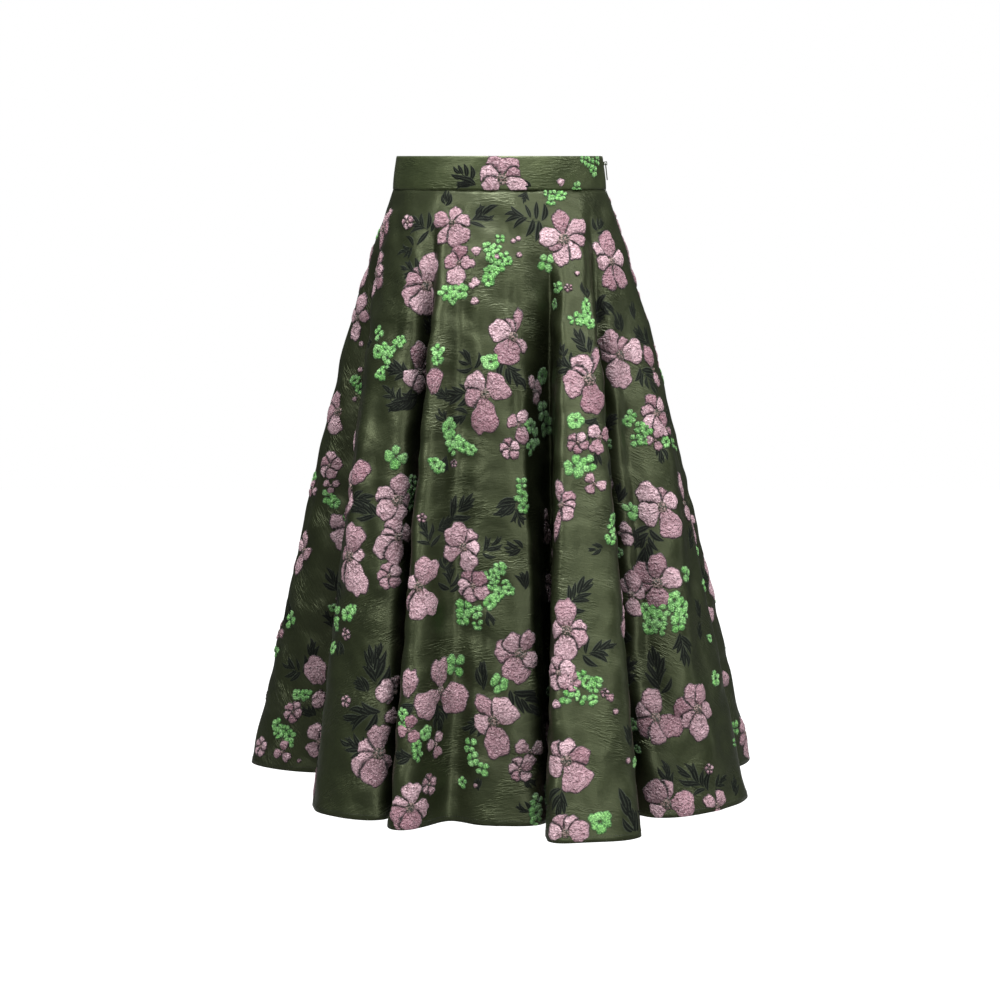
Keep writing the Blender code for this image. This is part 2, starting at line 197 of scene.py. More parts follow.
def flare(drop):
    return (1 - HIP_SHARE) * drop / DROP + HIP_SHARE * (1 - math.exp(-drop / HIP_FADE))


def fold_depth(drop):
    ramp = min(1.0, drop / FOLDS_FULL)
    return flare(drop) * (FOLD_START + (1 - FOLD_START) * ramp * ramp * (3 - 2 * ramp))


def smooth_loop(points, steps):
    """A closed cubic spline through the points, with its curvature unbroken, steps points to each stretch."""
    count = len(points)
    ahead, behind = np.roll(points, -1, axis=0), np.roll(points, 1, axis=0)
    length = np.sqrt(np.linalg.norm(ahead - points, axis=1))
    before = np.roll(length, 1)
    index = np.arange(count)
    system = np.zeros((count, count))
    system[index, index] = 2 * (1 / before + 1 / length)
    system[index, (index - 1) % count] += 1 / before
    system[index, (index + 1) % count] += 1 / length
    slopes = np.linalg.solve(
        system,
        3 * ((points - behind) / before[:, None] ** 2 + (ahead - points) / length[:, None] ** 2),
    )
    leaving = (slopes * length[:, None])[:, None]
    arriving = (np.roll(slopes, -1, axis=0) * length[:, None])[:, None]
    t = np.linspace(0, 1, steps, endpoint=False)[None, :, None]
    curve = (
        (2 * t**3 - 3 * t**2 + 1) * points[:, None]
        + (t**3 - 2 * t**2 + t) * leaving
        + (3 * t**2 - 2 * t**3) * ahead[:, None]
        + (t**3 - t**2) * arriving
    )
    return curve.reshape(-1, 2)


def section(drop):
    spread = flare(drop)
    return smooth_loop(WAIST * (1 - spread) + RING * spread + SWING * fold_depth(drop), STEPS)


def band_ring(height):
    """The waistband's oval, a little full at half its height."""
    rise = height / BAND_HEIGHT
    fullness = BAND_FULLNESS * math.sin(math.pi * min(1.0, rise * 1.15) ** 0.8)
    half_width = SEAM_HALF_WIDTH + (TOP_HALF_WIDTH - SEAM_HALF_WIDTH) * rise + fullness
    half_depth = SEAM_HALF_DEPTH + (TOP_HALF_DEPTH - SEAM_HALF_DEPTH) * rise + fullness
    turn = np.radians(np.arange(BAND_COLUMNS) * 360 / BAND_COLUMNS + 90)
    return np.column_stack([np.sin(turn) * half_width, np.cos(turn) * half_depth])


class Cloth:
    """A closed ring of cloth as a grid of points in millimetres: (rows from the top, columns, 3)."""

    def __init__(self, points):
        self.points = points
        self.open = np.ones(points.shape[:2])
        self.measure()

    def measure(self):
        """Finds the normals, and how far each point lies along its row and down its column."""
        points = self.points
        self.rows, self.columns = points.shape[:2]
        ahead = np.roll(points, -1, axis=1)
        normal = np.cross(np.gradient(points, axis=0), ahead - np.roll(points, 1, axis=1))
        self.normal = normal / np.linalg.norm(normal, axis=2)[..., None]
        step = np.linalg.norm(ahead - points, axis=2)
        girth = step.sum(axis=1)[:, None]
        run = np.concatenate([np.zeros((self.rows, 1)), np.cumsum(step, axis=1)[:, :-1]], axis=1)
        self.run = np.concatenate([run - girth, run, run + girth], axis=1)
        self.run_columns = np.arange(-self.columns, 2 * self.columns)
        fall = np.linalg.norm(np.diff(points, axis=0), axis=2)
        self.fall = np.concatenate([np.zeros((1, self.columns)), np.cumsum(fall, axis=0)])

    def trace(self, column, row, across, down, lift):
        """Points across and down from places on the cloth, measured along it, and how open it lies there."""
        index = np.arange(self.rows)
        rows, nearest = np.zeros(len(across)), np.round(column).astype(int) % self.columns
        for c in np.unique(nearest):
            here, falls = nearest == c, self.fall[:, c]
            rows[here] = np.interp(np.interp(row[here], index, falls) + down[here], falls, index)
        low = np.minimum(np.floor(rows).astype(int), self.rows - 2)
        share = rows - low
        points, normals = np.zeros((2, len(across), 3))
        opens = np.zeros(len(across))
        for r in np.unique(low):
            here = low == r
            for line, weight in ((r, 1 - share[here]), (r + 1, share[here])):
                start = np.interp(column[here], self.run_columns, self.run[line])
                columns = np.interp(start + across[here], self.run[line], self.run_columns)
                before = np.floor(columns).astype(int)
                t = columns - before
                for corner, part in ((before, (1 - t) * weight), (before + 1, t * weight)):
                    at = corner % self.columns
                    points[here] += self.points[line, at] * part[:, None]
                    normals[here] += self.normal[line, at] * part[:, None]
                    opens[here] += self.open[line, at] * part
        return points + normals * lift[:, None], opens

    def at(self, places, lift=0.0):
        """The points at (column, row) places."""
        column, row = np.array(places, float).T
        flat = np.zeros(len(column))
        return self.trace(column, row, flat, flat, flat + lift)[0]

    def cover(self, thickness):
        """Readies the outer face for rays."""
        self.outer = (self.points + self.normal * thickness / 2) * MM
        faces = []
        for r in range(self.rows - 1):
            top, below = r * self.columns, (r + 1) * self.columns
            for c in range(self.columns):
                after = (c + 1) % self.columns
                faces.append((top + c, top + after, below + after, below + c))
        self.rays = BVHTree.FromPolygons(self.outer.reshape(-1, 3).tolist(), faces)

    def find_open(self):
        """How much of the room in front of the cloth is free, from 0 to 1, for the shade painted darker into
        hollows.
        """
        steps = np.arange(OPEN_RAYS) + 0.5
        height, turn = np.sqrt(1 - steps / OPEN_RAYS), steps * math.pi * (3 - math.sqrt(5))
        level = np.sqrt(1 - height**2)
        rays = np.column_stack([level * np.cos(turn), level * np.sin(turn), height])
        rows = np.unique(np.append(np.arange(0, self.rows, OPEN_ROWS), self.rows - 1))
        columns = np.arange(0, self.columns, OPEN_COLUMNS)
        found = np.zeros((len(rows), len(columns)))
        for i, r in enumerate(rows):
            for j, c in enumerate(columns):
                normal = self.normal[r, c]
                aside = np.cross(normal, UP)
                aside /= np.linalg.norm(aside)
                ways = rays @ np.array([aside, np.cross(normal, aside), normal])
                origin = Vector((self.points[r, c] + normal * CLEAR_LIFT) * MM)
                hits = sum(self.rays.ray_cast(origin, Vector(way), OPEN_REACH)[0] is not None for way in ways)
                found[i, j] = 1 - hits / OPEN_RAYS
        every_column, every_row = np.arange(self.columns), np.arange(self.rows)
        columns = np.append(columns, self.columns)
        around = np.stack([np.interp(every_column, columns, np.append(line, line[0])) for line in found])
        self.open = np.stack([np.interp(every_row, rows, line) for line in around.T], axis=1)

    def under_pixel(self, x, y):
        """The (column, row) that the photograph shows at a pixel, or None."""
        hit, _, face, _ = self.rays.ray_cast(CAMERA_AT, pixel_direction(x, y))
        if hit is None:
            return None
        r, c = divmod(face, self.columns)
        corner = self.outer[r, c]
        along = self.outer[r, (c + 1) % self.columns] - corner
        down = self.outer[r + 1, c] - corner
        offset = np.array(hit) - corner
        return c + offset @ along / (along @ along), r + offset @ down / (down @ down)


def make_skirt():
    drops = np.linspace(SEAM_GAP, DROP, ROWS)
    points = np.zeros((ROWS, len(ALL_POINTS) * STEPS, 3))
    for r, drop in enumerate(drops):
        curve = section(drop)
        points[r, :, 0], points[r, :, 1] = curve[:, 0], -curve[:, 1]
        points[r, :, 2] = -BAND_HEIGHT / 2 - drop
    return Cloth(points)


def make_band():
    points = np.zeros((BAND_ROWS, BAND_COLUMNS, 3))
    for r, height in enumerate(np.linspace(BAND_HEIGHT, 0.0, BAND_ROWS)):
        curve = band_ring(height)
        points[r, :, 0], points[r, :, 1] = curve[:, 0], -curve[:, 1]
        points[r, :, 2] = height - BAND_HEIGHT / 2
    return Cloth(points)


# ---- Creases ---------------------------------------------------------------------------------------

# Each crease on the front: its path in pixels, its half width and its height; a trough is negative.
FRONT_CREASES = (
    # the dip and ridge that cross the front's last fold, to the right as they fall
    (((622, 300), (630, 400), (636, 480), (641, 560), (648, 640), (660, 700), (678, 755),
      (694, 800)), 22, -17),
    (((636, 280), (652, 380), (668, 470), (677, 560), (682, 640), (694, 700), (714, 755),
      (728, 795)), 17, 9),
    # the hollow beside the middle fold's roll, filled
    (((450, 500), (450, 600), (449, 700), (447, 780), (446, 823)), 11, 3.0),
    # the lip of the front's left fold, fuller to the left
    (((367, 400), (363, 450), (359, 490), (354, 540), (348, 590)), 14, 6.0),
    # where the fold at the front's left turns to the light
    (((384, 300), (374, 360), (368, 420), (362, 480), (352, 560), (344, 640)), 14, 4.0),
    (((586, 235), (589, 270), (592, 320), (595, 350)), 7, -3.5),
    # the lip that the middle fold's right side sharpens into
    (((524, 370), (524, 440), (526, 500), (529, 560), (532, 630), (536, 690), (541, 760)), 5, 3.2),
    (((516, 250), (515, 300), (516, 370), (518, 450)), 6, -1.8),
    (((481, 560), (480, 640), (481, 700), (484, 760)), 8, -2.2),
    (((452, 330), (447, 420), (444, 520)), 9, 1.6),
    # pulls that run out from the blossoms
    (((385, 427), (372, 440), (362, 458)), 5, 1.6),
    (((395, 433), (378, 452), (366, 474)), 5, -1.4),
    (((352, 598), (365, 597), (384, 588), (396, 586)), 3.5, 1.6),
    (((388, 638), (379, 646), (372, 662), (365, 679), (358, 692)), 3.5, 1.7),
    (((386, 318), (399, 310), (412, 302)), 4, 1.5),
    (((366, 384), (381, 376), (400, 370)), 4, 1.5),
    (((396, 241), (406, 235), (418, 232)), 3.5, 1.3),
    (((352, 640), (362, 655), (366, 676)), 5, -1.4),
    (((374, 600), (366, 622), (352, 640)), 6, 1.3),
    (((487, 293), (500, 289), (512, 286)), 2.5, 0.9),
    (((443, 322), (466, 325), (489, 324)), 2.5, 0.9),
    (((448, 332), (470, 333), (487, 331)), 2.5, -0.8),
    (((434, 448), (460, 450), (490, 452)), 3, 0.9),
    (((455, 345), (443, 350), (440, 356)), 2.5, 0.8),
    (((614, 404), (621, 409), (628, 417)), 3.5, 1.4),
    (((629, 468), (638, 474), (644, 483)), 4, 1.6),
    (((699, 645), (708, 660), (714, 676)), 5, 2.2),
    (((686, 655), (694, 668), (699, 684)), 5, -1.8),
    (((641, 318), (652, 330), (660, 352)), 5, 2.0),
    (((600, 612), (590, 622), (584, 636)), 4, 1.2),
    (((612, 640), (606, 660), (592, 676)), 5, 1.3),
    (((570, 700), (584, 716), (604, 724)), 6, 1.2),
    (((618, 730), (606, 752), (592, 766)), 6, 1.4),
    (((452, 660), (440, 655), (430, 648)), 3, 0.9),
    (((427, 520), (440, 512), (452, 509)), 3, 1.0),
    (((486, 560), (498, 552), (512, 549)), 3, 0.9),
    (((437, 786), (455, 785), (470, 786)), 3, 0.8),
    (((480, 819), (490, 816), (500, 822)), 3, 1.3),
    (((344, 772), (352, 762), (366, 756)), 4, 1.2),
    (((286, 570), (292, 600), (300, 630)), 6, 1.4),
    (((700, 770), (712, 778), (722, 790)), 4, 1.4),
    (((574, 520), (590, 530), (606, 548)), 6, 1.3),
    (((405, 315), (396, 332), (392, 350)), 6, -1.5),
    (((400, 205), (404, 222), (402, 244)), 7, 1.4),
    (((500, 200), (508, 220), (512, 244)), 7, -1.3),
)
# On the hidden sides a crease's path is in stations round the skirt and in drops below the waist seam.
HIDDEN_CREASES = (
    (((28.5, 40), (28.5, 150), (28.6, 250), (28.6, 400), (28.7, 600)), 24, 4.5),
    (((4.1, 60), (4.3, 200), (4.2, 420)), 9, -3.0),
    (((7.6, 90), (8.3, 240), (8.2, 520)), 8, -2.6),
    (((8.9, 160), (9.2, 330), (9.1, 600)), 9, 2.4),
    (((12.7, 110), (13.3, 230), (13.1, 360)), 8, -2.4),
    (((13.9, 260), (13.6, 430), (13.9, 640)), 10, -3.0),
    (((18.2, 80), (18.7, 230), (18.4, 450)), 9, -2.8),
    (((22.8, 130), (23.4, 330), (23.1, 600)), 9, -3.0),
    (((24.0, 260), (24.1, 420), (24.2, 690)), 8, 2.4),
    (((28.1, 120), (28.4, 260), (28.3, 500)), 8, -2.2),
    (((3.2, 300), (3.7, 330), (4.1, 372)), 4, 1.6),
    (((2.8, 520), (3.4, 500), (4.0, 512)), 4, 1.5),
    (((7.4, 310), (7.9, 342), (8.3, 350)), 4, 1.6),
    (((7.7, 600), (8.3, 572), (8.8, 580)), 5, 1.5),
    (((8.1, 430), (8.6, 452), (9.3, 450)), 4, 1.4),
    (((12.4, 420), (12.9, 390), (13.6, 380)), 4, 1.7),
    (((12.5, 200), (13.2, 214), (13.8, 240)), 4, 1.4),
    (((13.0, 560), (13.5, 590), (14.1, 596)), 5, 1.4),
    (((17.6, 360), (18.2, 342), (18.9, 350)), 4, 1.5),
    (((17.5, 610), (18.1, 640), (18.8, 642)), 5, 1.6),
    (((18.0, 500), (18.6, 470), (19.1, 476)), 4, 1.3),
    (((22.3, 250), (22.9, 270), (23.4, 262)), 4, 1.4),
    (((22.6, 460), (23.1, 500), (23.7, 512)), 4, 1.7),
    (((23.2, 650), (23.8, 622), (24.3, 630)), 5, 1.3),
    (((27.6, 350), (28.1, 382), (28.7, 390)), 4, 1.4),
    (((27.9, 600), (28.4, 570), (28.9, 566)), 4, 1.4),
)


def press_crease(cloth, path, half_width, height):
    """Moves the cloth out along a path, or in when the height is negative, fading to the path's ends."""
    low, high = path.min(axis=0) - 3 * half_width, path.max(axis=0) + 3 * half_width
    near = np.all((cloth.points > low) & (cloth.points < high), axis=2)
    points = cloth.points[near]
    step = np.linalg.norm(np.diff(path, axis=0), axis=1)
    reached = np.concatenate([[0], np.cumsum(step)]) / step.sum()
    distance = np.full(len(points), 1e9)
    share = np.zeros(len(points))
    for i, start in enumerate(path[:-1]):
        line = path[i + 1] - start
        t = np.clip((points - start) @ line / (line @ line), 0, 1)
        away = np.linalg.norm(points - start - t[:, None] * line, axis=1)
        closer = away < distance
        distance[closer] = away[closer]
        share[closer] = (reached[i] + t * (reached[i + 1] - reached[i]))[closer]
    fade = (4 * share * (1 - share)) ** 0.6
    swell = height * fade * np.exp(-((distance / half_width) ** 2))
    cloth.points[near] += cloth.normal[near] * swell[:, None]


DENT_DEPTH = 0.22  # of each of the waves that make the cloth's soft dents
DENT_WAVES, DENT_LONGEST, DENT_SHORTEST = 26, 90.0, 30.0
DENT_SIDE_FADE, DENT_TOP_FADE = 30.0, 25.0  # how far from a seam the dents reach their depth
DENT_TOP_MORE, DENT_TOP_REACH = 0.9, 110.0  # how much deeper they are near the waist, and how far down


def dent_cloth(cloth):
    """Soft uneven dents over each panel, deeper near the waist and fading to the seams."""
    random = np.random.default_rng(5)
    for panel in (BACK_PANEL, FRONT_PANEL):
        columns = range(panel.first * STEPS, panel.last * STEPS + 1)
        across, down = flat_places(cloth, columns, panel)
        dents = np.zeros_like(across)
        for _ in range(DENT_WAVES):
            angle, phase = random.uniform(0, math.tau, 2)
            wave = math.tau / random.uniform(DENT_SHORTEST, DENT_LONGEST)
            dents += np.sin((across * math.cos(angle) + down * math.sin(angle)) * wave + phase)
        run = np.stack([cloth.run[:, cloth.columns + column] for column in columns], axis=1)
        edge = np.minimum(run - run[:, :1], run[:, -1:] - run)
        fall = down.max(axis=1, keepdims=True) - panel.radius
        fade = np.clip(edge / DENT_SIDE_FADE, 0, 1) * np.clip(fall / DENT_TOP_FADE, 0, 1)
        fade = fade * (1 + DENT_TOP_MORE * np.exp(-fall / DENT_TOP_REACH))
        swell = (dents * DENT_DEPTH * fade)[:, :-1]
        part = slice(columns[0], columns[0] + swell.shape[1])
        cloth.points[:, part] += cloth.normal[:, part] * swell[..., None]
    cloth.measure()


def crease_cloth(cloth):
    """Presses every crease in, at places that are found before the first is pressed."""
    cloth.cover(CLOTH)
    drops = -BAND_HEIGHT / 2 - cloth.points[:, 0, 2]
    found = []
    for path, *size in FRONT_CREASES:
        places = [cloth.under_pixel(*pixel) for pixel in path]
        found.append(([place for place in places if place is not None], size))
    for path, *size in HIDDEN_CREASES:
        rows = np.interp([drop for _, drop in path], drops, np.arange(cloth.rows))
        found.append(([(station * STEPS, row) for (station, _), row in zip(path, rows)], size))
    for places, size in found:
        if len(places) > 1:
            press_crease(cloth, cloth.at(places), *size)
    cloth.measure()


# ---- Meshes ----------------------------------------------------------------------------------------


def add_piece(name, points, faces, material, attributes=(), smooth=True):
    """A mesh piece in metres from points in millimetres."""
    mesh = bpy.data.meshes.new(name)
    mesh.from_pydata((points * MM).tolist(), [], [tuple(face) for face in faces])
    mesh.materials.append(material)
    for label, values in attributes:
        kind, key = ("FLOAT_VECTOR", "vector") if values.ndim == 2 else ("FLOAT", "value")
        attribute = mesh.attributes.new(label, kind, "POINT")
        attribute.data.foreach_set(key, values.astype(np.float32).ravel())
    if smooth:
        mesh.shade_smooth()
    mesh.update()
    piece = bpy.data.objects.new(name, mesh)
    bpy.context.scene.collection.objects.link(piece)
    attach(piece, "skirt")
    return piece


def grid_faces(rows, columns, first=0, flip=False):
    corner = np.arange(rows - 1)[:, None] * columns + np.arange(columns - 1)[None] + first
    faces = np.stack([corner, corner + columns, corner + columns + 1, corner + 1], axis=2)
    faces = faces.reshape(-1, 4)
    return faces[:, ::-1] if flip else faces


def flat_places(cloth, columns, panel):
    """Where the cloth lies before sewing, in millimetres: (across, down) for its rows and some columns."""
    run = np.stack([cloth.run[:, cloth.columns + column] for column in columns], axis=1)
    fall = cloth.fall[:, [column % cloth.columns for column in columns]]
    if panel is None:
        return run, fall
    share = (run - run[:, :1]) / (run[:, -1:] - run[:, :1]) - 0.5
    angle, radius = np.radians(panel.spread) * share, panel.radius + fall
    return radius * np.sin(angle), radius * np.cos(angle)


def shell(name, cloth, columns, thickness, material, panel=None):
    """A closed thin shell over some columns of a ring of cloth; thickness has one value to each row."""
    picked = [column % cloth.columns for column in columns]
    middle = cloth.points[:, picked].copy()
    normal = cloth.normal[:, picked]
    for end, beside in ((0, 1), (-1, -2)):
        around = middle[:, beside] - middle[:, end]
        middle[:, end] += around / np.linalg.norm(around, axis=1)[:, None] * (SEAM_GAP / 2)
    half = np.asarray(thickness)[:, None, None] / 2
    rows, width = middle.shape[:2]
    count = rows * width
    faces = list(grid_faces(rows, width)) + list(grid_faces(rows, width, count, flip=True))
    rim = list(range(width))
    rim += [r * width + width - 1 for r in range(1, rows)]
    rim += [(rows - 1) * width + c for c in range(width - 2, -1, -1)]
    rim += [r * width for r in range(rows - 2, 0, -1)]
    for a, b in zip(rim, rim[1:] + rim[:1]):
        faces.append((a, b, b + count, a + count))
    outer, inner = middle + normal * half, middle - normal * half
    points = np.concatenate([outer.reshape(-1, 3), inner.reshape(-1, 3)])
    across, down = flat_places(cloth, columns, panel)
    weave = np.stack([across, down, np.zeros_like(across)], axis=2).reshape(-1, 3)
    inside = np.concatenate([np.zeros(count), np.ones(count)])
    opens = np.concatenate([cloth.open[:, picked].ravel(), np.ones(count)])
    # how open the cloth lies, which the materials turn into painted shade in the folds
    attributes = (("weave", np.concatenate([weave, weave])), ("inside", inside), ("open", opens))
    return add_piece(name, points, faces, material, attributes)


# ---- The woven blossoms and leaves -----------------------------------------------------------------

RIM = 1.7  # how wide each petal's dark edge is: partly its woven outline, partly painted shadow
PUFF, BAND_PUFF, GREEN_PUFF = 2.4, 1.2, 1.4  # how high petals stand on the skirt, on the band and if green
PETAL_CRUMPLE, GREEN_CRUMPLE, HEART_CRUMPLE = 5.0, 2.6, 3.2  # how far apart their crumples lie
NOTCH, NOTCH_WIDTH = 0.10, 0.2  # shares of a petal's reach and of its half width
SUNK = 0.2  # how far the rim of a motif or a stitch lies inside the cloth
STEM_HALF_WIDTH = 0.5

# A petal: its direction (90 is up), reach, half width and whether its end is notched. In the tables the
# petals of a blossom follow its heart's radius, and a fourth number stands for a notch.
Petal = namedtuple("Petal", "direction reach half_width notch")
BLOSSOMS = {
    "seven": (9, ((105, 37, 11), (42, 36, 13), (0, 31, 11, 1), (-45, 36, 9), (-92, 37, 11),
     (-150, 25, 10), (165, 34, 15, 1))),
    "five": (6, ((165, 25, 14, 1), (72, 27, 10), (12, 25, 9), (-55, 33, 13, 1), (-118, 30, 8))),
    "four": (7, ((128, 37, 16), (45, 41, 19, 1), (-165, 27, 13), (-92, 47, 16, 1))),
    "three": (7, ((85, 39, 13), (-140, 37, 15), (-22, 37, 18))),
    "round": (9, ((172, 31, 14), (122, 28, 12), (66, 31, 9), (-105, 37, 17, 1), (-30, 23, 10))),
    "cross": (9, ((135, 40, 15, 1), (80, 30, 12), (2, 37, 16, 1), (-95, 41, 18, 1), (-160, 31, 13))),
    "ragged": (9, ((80, 33, 16, 1), (165, 25, 12), (-145, 36, 15), (-105, 36, 15, 1), (-40, 25, 11))),
    "six": (7, ((95, 30, 11), (150, 26, 10), (-155, 29, 10), (-105, 33, 11), (-45, 26, 10),
     (35, 26, 10))),
    "small": (3, ((92, 16, 7), (160, 15, 7, 1), (-130, 15, 7), (-60, 16, 7), (20, 15, 7))),
    "trio": (2.5, ((60, 15, 6.5), (175, 13, 6.5), (-75, 16, 6.5, 1))),
    "tiny": (1.6, ((90, 8, 3.6), (162, 8, 3.6), (-126, 8, 3.6), (-54, 8, 3.6), (18, 8, 3.6))),
    "bud": (0, ((90, 10, 4.5),)),
    "left": (7, ((125, 30, 12), (-165, 27, 12, 1), (-100, 31, 13))),
}
# The blossoms on the front: where the photograph has their middles, their kind, turn and scale.
FRONT_BLOSSOMS = (
    (338, 412, "left", 0, 1), (476, 257, "bud", 0, 1.4), (475, 268, "bud", 40, 1.3),
    (474, 276, "bud", 190, 1.3), (472, 290, "bud", 0, 1.1), (473, 296, "bud", 200, 1.2),
    (389.5, 576, "small", 20, 1.1), (330, 466, "small", 0, 1.15), (313, 489, "trio", 60, 0.9),
    (331, 486, "trio", 100, 0.8), (473, 586, "small", 30, 1.4), (521, 654, "round", 0, 1),
    (409, 730, "trio", 20, 1.2), (530, 752, "trio", 90, 1.3), (520, 770, "small", 10, 1),
    (436, 744, "trio", 0, 1.1), (429, 785, "small", 0, 0.85), (346, 701, "tiny", 0, 1),
    (346, 634, "tiny", 30, 1), (293, 713, "small", -20, 0.95), (283, 752, "trio", 30, 1),
    (261, 747, "small", 0, 0.9), (657, 413, "six", 10, 0.85), (666, 429, "trio", 50, 0.85),
    (655, 440, "trio", 0, 0.9), (691, 513, "bud", 180, 1.5), (600, 438, "trio", -40, 1.4),
    (594, 484, "trio", 60, 1), (578, 443, "small", 40, 0.9), (558, 673, "small", 15, 1.35),
    (571, 682, "small", 50, 0.85), (555, 698, "bud", 190, 1.2), (717, 806, "three", 60, 0.6),
    (709, 769, "tiny", 0, 0.9), (627, 757, "bud", 200, 0.9), (713, 624, "bud", 15, 2.4),
    (727, 688, "bud", 10, 2.4), (612, 703, "bud", 20, 1.1), (614, 708, "bud", 200, 0.9),
    (605, 693, "tiny", 0, 0.75), (510, 243, "bud", -60, 0.8), (519, 242, "bud", 10, 0.8),
    (519, 251, "bud", 180, 0.9), (496, 253, "bud", 190, 0.8), (407.5, 222, "tiny", 20, 1.3),
    (577, 277, "bud", 0, 0.8), (569, 288, "tiny", 20, 0.75), (422, 518, "tiny", 0, 0.8),
    (454, 463.5, "tiny", 0, 0.7), (510, 449, "small", 10, 0.9), (362, 348, "bud", 20, 0.9),
    (360, 366, "bud", 200, 0.9), (355, 403, "bud", 10, 0.8), (551, 587, "left", 0, 0.6),
    (474, 782, "bud", 200, 0.7), (302, 760, "bud", 120, 0.7),
)
# Blossoms whose petals are set one by one: the middle's pixel, the heart's radius and the petals.
FRONT_SHAPED = (
    (452, 223, 5, ((170, 26, 11), (82, 24, 8), (8, 24, 9), (-115, 30, 8), (-60, 35, 14, 1))),
    (459, 263, 4, ((90, 24, 10), (-100, 29, 12, 1), (165, 18, 11), (0, 16, 9))),
    (427, 286, 8, ((120, 26, 10), (-55, 30, 12), (175, 30, 14, 1), (-140, 34, 15), (78, 42, 16),
     (-100, 38, 16, 1))),
    (565, 239.5, 9, ((105, 40, 10), (45, 37, 12), (-5, 30, 9), (-50, 33, 10), (-92, 36, 10),
     (-150, 22, 9), (165, 34, 13))),
    (612, 262, 6, ((125, 32, 10), (85, 40, 13), (185, 20, 10), (-105, 36, 11), (-60, 40, 12),
     (15, 30, 10))),
    (513, 337, 7, ((75, 36, 6), (120, 26, 10), (155, 32, 14), (-50, 24, 7), (-108, 36, 16))),
    (485, 394, 7, ((135, 32, 15), (32, 32, 18, 1), (-160, 28, 13), (-92, 52, 16, 1))),
    (519, 425, 3, ((150, 17, 9), (60, 21, 8), (-80, 23, 9))),
    (534, 392, 3, ((100, 20, 8), (20, 20, 10), (-60, 16, 8))),
    (589, 380, 9, ((72, 44, 6), (110, 34, 13), (150, 24, 10), (-165, 31, 17), (-75, 42, 16))),
    (620, 355, 8, ((175, 28, 12), (130, 36, 15, 1), (60, 24, 10), (5, 34, 15, 1), (-100, 42, 18, 1))),
    (653, 370, 3, ((95, 32, 10), (-80, 22, 8))),
    (398, 501, 9, ((10, 18, 12), (-80, 24, 11), (82, 34, 13), (160, 29, 12), (-142, 32, 13))),
    (399, 537, 6, ((20, 18, 11), (115, 27, 11), (175, 23, 10), (-145, 34, 14), (-95, 34, 12))),
    (351, 486, 4, ((62, 38, 13), (-98, 32, 9), (120, 24, 9), (-140, 20, 9))),
    (304, 551, 5, ((100, 26, 8), (-20, 16, 9), (-102, 34, 9), (150, 18, 8))),
    (349, 556, 8, ((15, 20, 9), (165, 18, 9), (-112, 36, 9), (-70, 50, 16, 1), (78, 44, 15, 1))),
    (463.5, 547.5, 7, ((60, 24, 10), (-5, 22, 10), (-65, 31, 12), (-165, 29, 12), (130, 33, 16, 1))),
    (419, 587, 7, ((150, 18, 9), (-118, 30, 8), (68, 36, 16, 1), (-68, 42, 19, 1))),
    (441, 690, 5, ((97, 38, 13, 1), (-145, 40, 17), (-32, 39, 19))),
    (406, 701, 0, ((80, 42, 10, 1),)),
    (396, 692, 4, ((100, 20, 9), (-160, 20, 9), (168, 27, 14))),
    (395, 706, 0, ((-110, 22, 10),)),
    (322, 688, 0, ((-100, 26, 9), (115, 42, 15))),
    (493, 721, 8, ((120, 34, 10), (-165, 22, 12), (42, 34, 18, 1), (-80, 48, 15, 1))),
    (410.3, 808, 7, ((85, 32, 12, 1), (170, 24, 12), (-10, 28, 12, 1), (-140, 30, 15, 1), (-80, 30, 14))),
    (379.7, 753.5, 9, ((160, 28, 12), (-60, 24, 10), (95, 36, 13, 1), (-145, 38, 14), (-105, 40, 16, 1))),
    (320, 742, 5, ((125, 24, 11), (-125, 24, 11), (45, 16, 8), (-45, 16, 8))),
    (384, 228, 6, ((10, 20, 11), (70, 30, 9), (-100, 28, 9), (140, 24, 10), (-160, 26, 10))),
    (377, 274, 7, ((75, 30, 10), (-30, 24, 11), (-105, 30, 9), (20, 22, 8), (150, 26, 10))),
    (358, 318, 5, ((85, 32, 9), (-95, 30, 9), (10, 18, 8), (170, 20, 9))),
    (420, 372, 5, ((10, 20, 10), (60, 22, 8), (95, 38, 12), (-150, 25, 12), (-85, 26, 11))),
    (433, 397, 0, ((88, 36, 10),)),
    (561, 505, 4, ((98, 32, 7), (45, 20, 8), (-10, 17, 8), (-55, 20, 9), (-97, 44, 5))),
    (548, 525, 3, ((120, 22, 9), (-100, 24, 9), (180, 16, 8))),
    (662, 507, 8, ((85, 25, 10), (20, 24, 11), (125, 38, 13), (-160, 31, 15), (-68, 44, 16))),
    (684, 503, 3, ((95, 40, 8), (-70, 26, 8))),
    (619, 533, 3, ((35, 17, 9), (-35, 20, 8))),
    (566.5, 631, 8, ((175, 20, 11), (15, 25, 9), (90, 41, 13, 1), (-32, 29, 11), (-95, 35, 14))),
    (566.3, 761, 8, ((130, 26, 11), (85, 26, 10), (15, 28, 12), (-150, 28, 13), (-62, 38, 18))),
    (565.3, 833.6, 6, ((120, 24, 11), (60, 22, 9), (5, 29, 13), (175, 22, 10))),
    (657.5, 583.5, 8, ((175, 20, 9), (135, 35, 12), (85, 37, 12), (10, 31, 13), (-95, 28, 14))),
    (631, 594, 5, ((25, 22, 10), (120, 20, 8), (75, 30, 11), (-80, 28, 10))),
    (656, 718, 8, ((150, 28, 13), (92, 35, 14), (-140, 32, 12), (-88, 34, 12), (-32, 38, 14))),
    (698, 709.5, 7, ((165, 30, 14), (-135, 26, 10), (100, 33, 12), (55, 32, 12), (-10, 31, 11),
     (-85, 39, 13))),
    (666.7, 804, 8, ((-150, 22, 10), (95, 29, 11), (130, 33, 15), (-5, 38, 16))),
)
BAND_SHAPED = (
    (502, 179, 8, ((88, 28, 20, 1), (160, 29, 11), (15, 25, 10), (-150, 25, 10), (-20, 34, 10))),
)
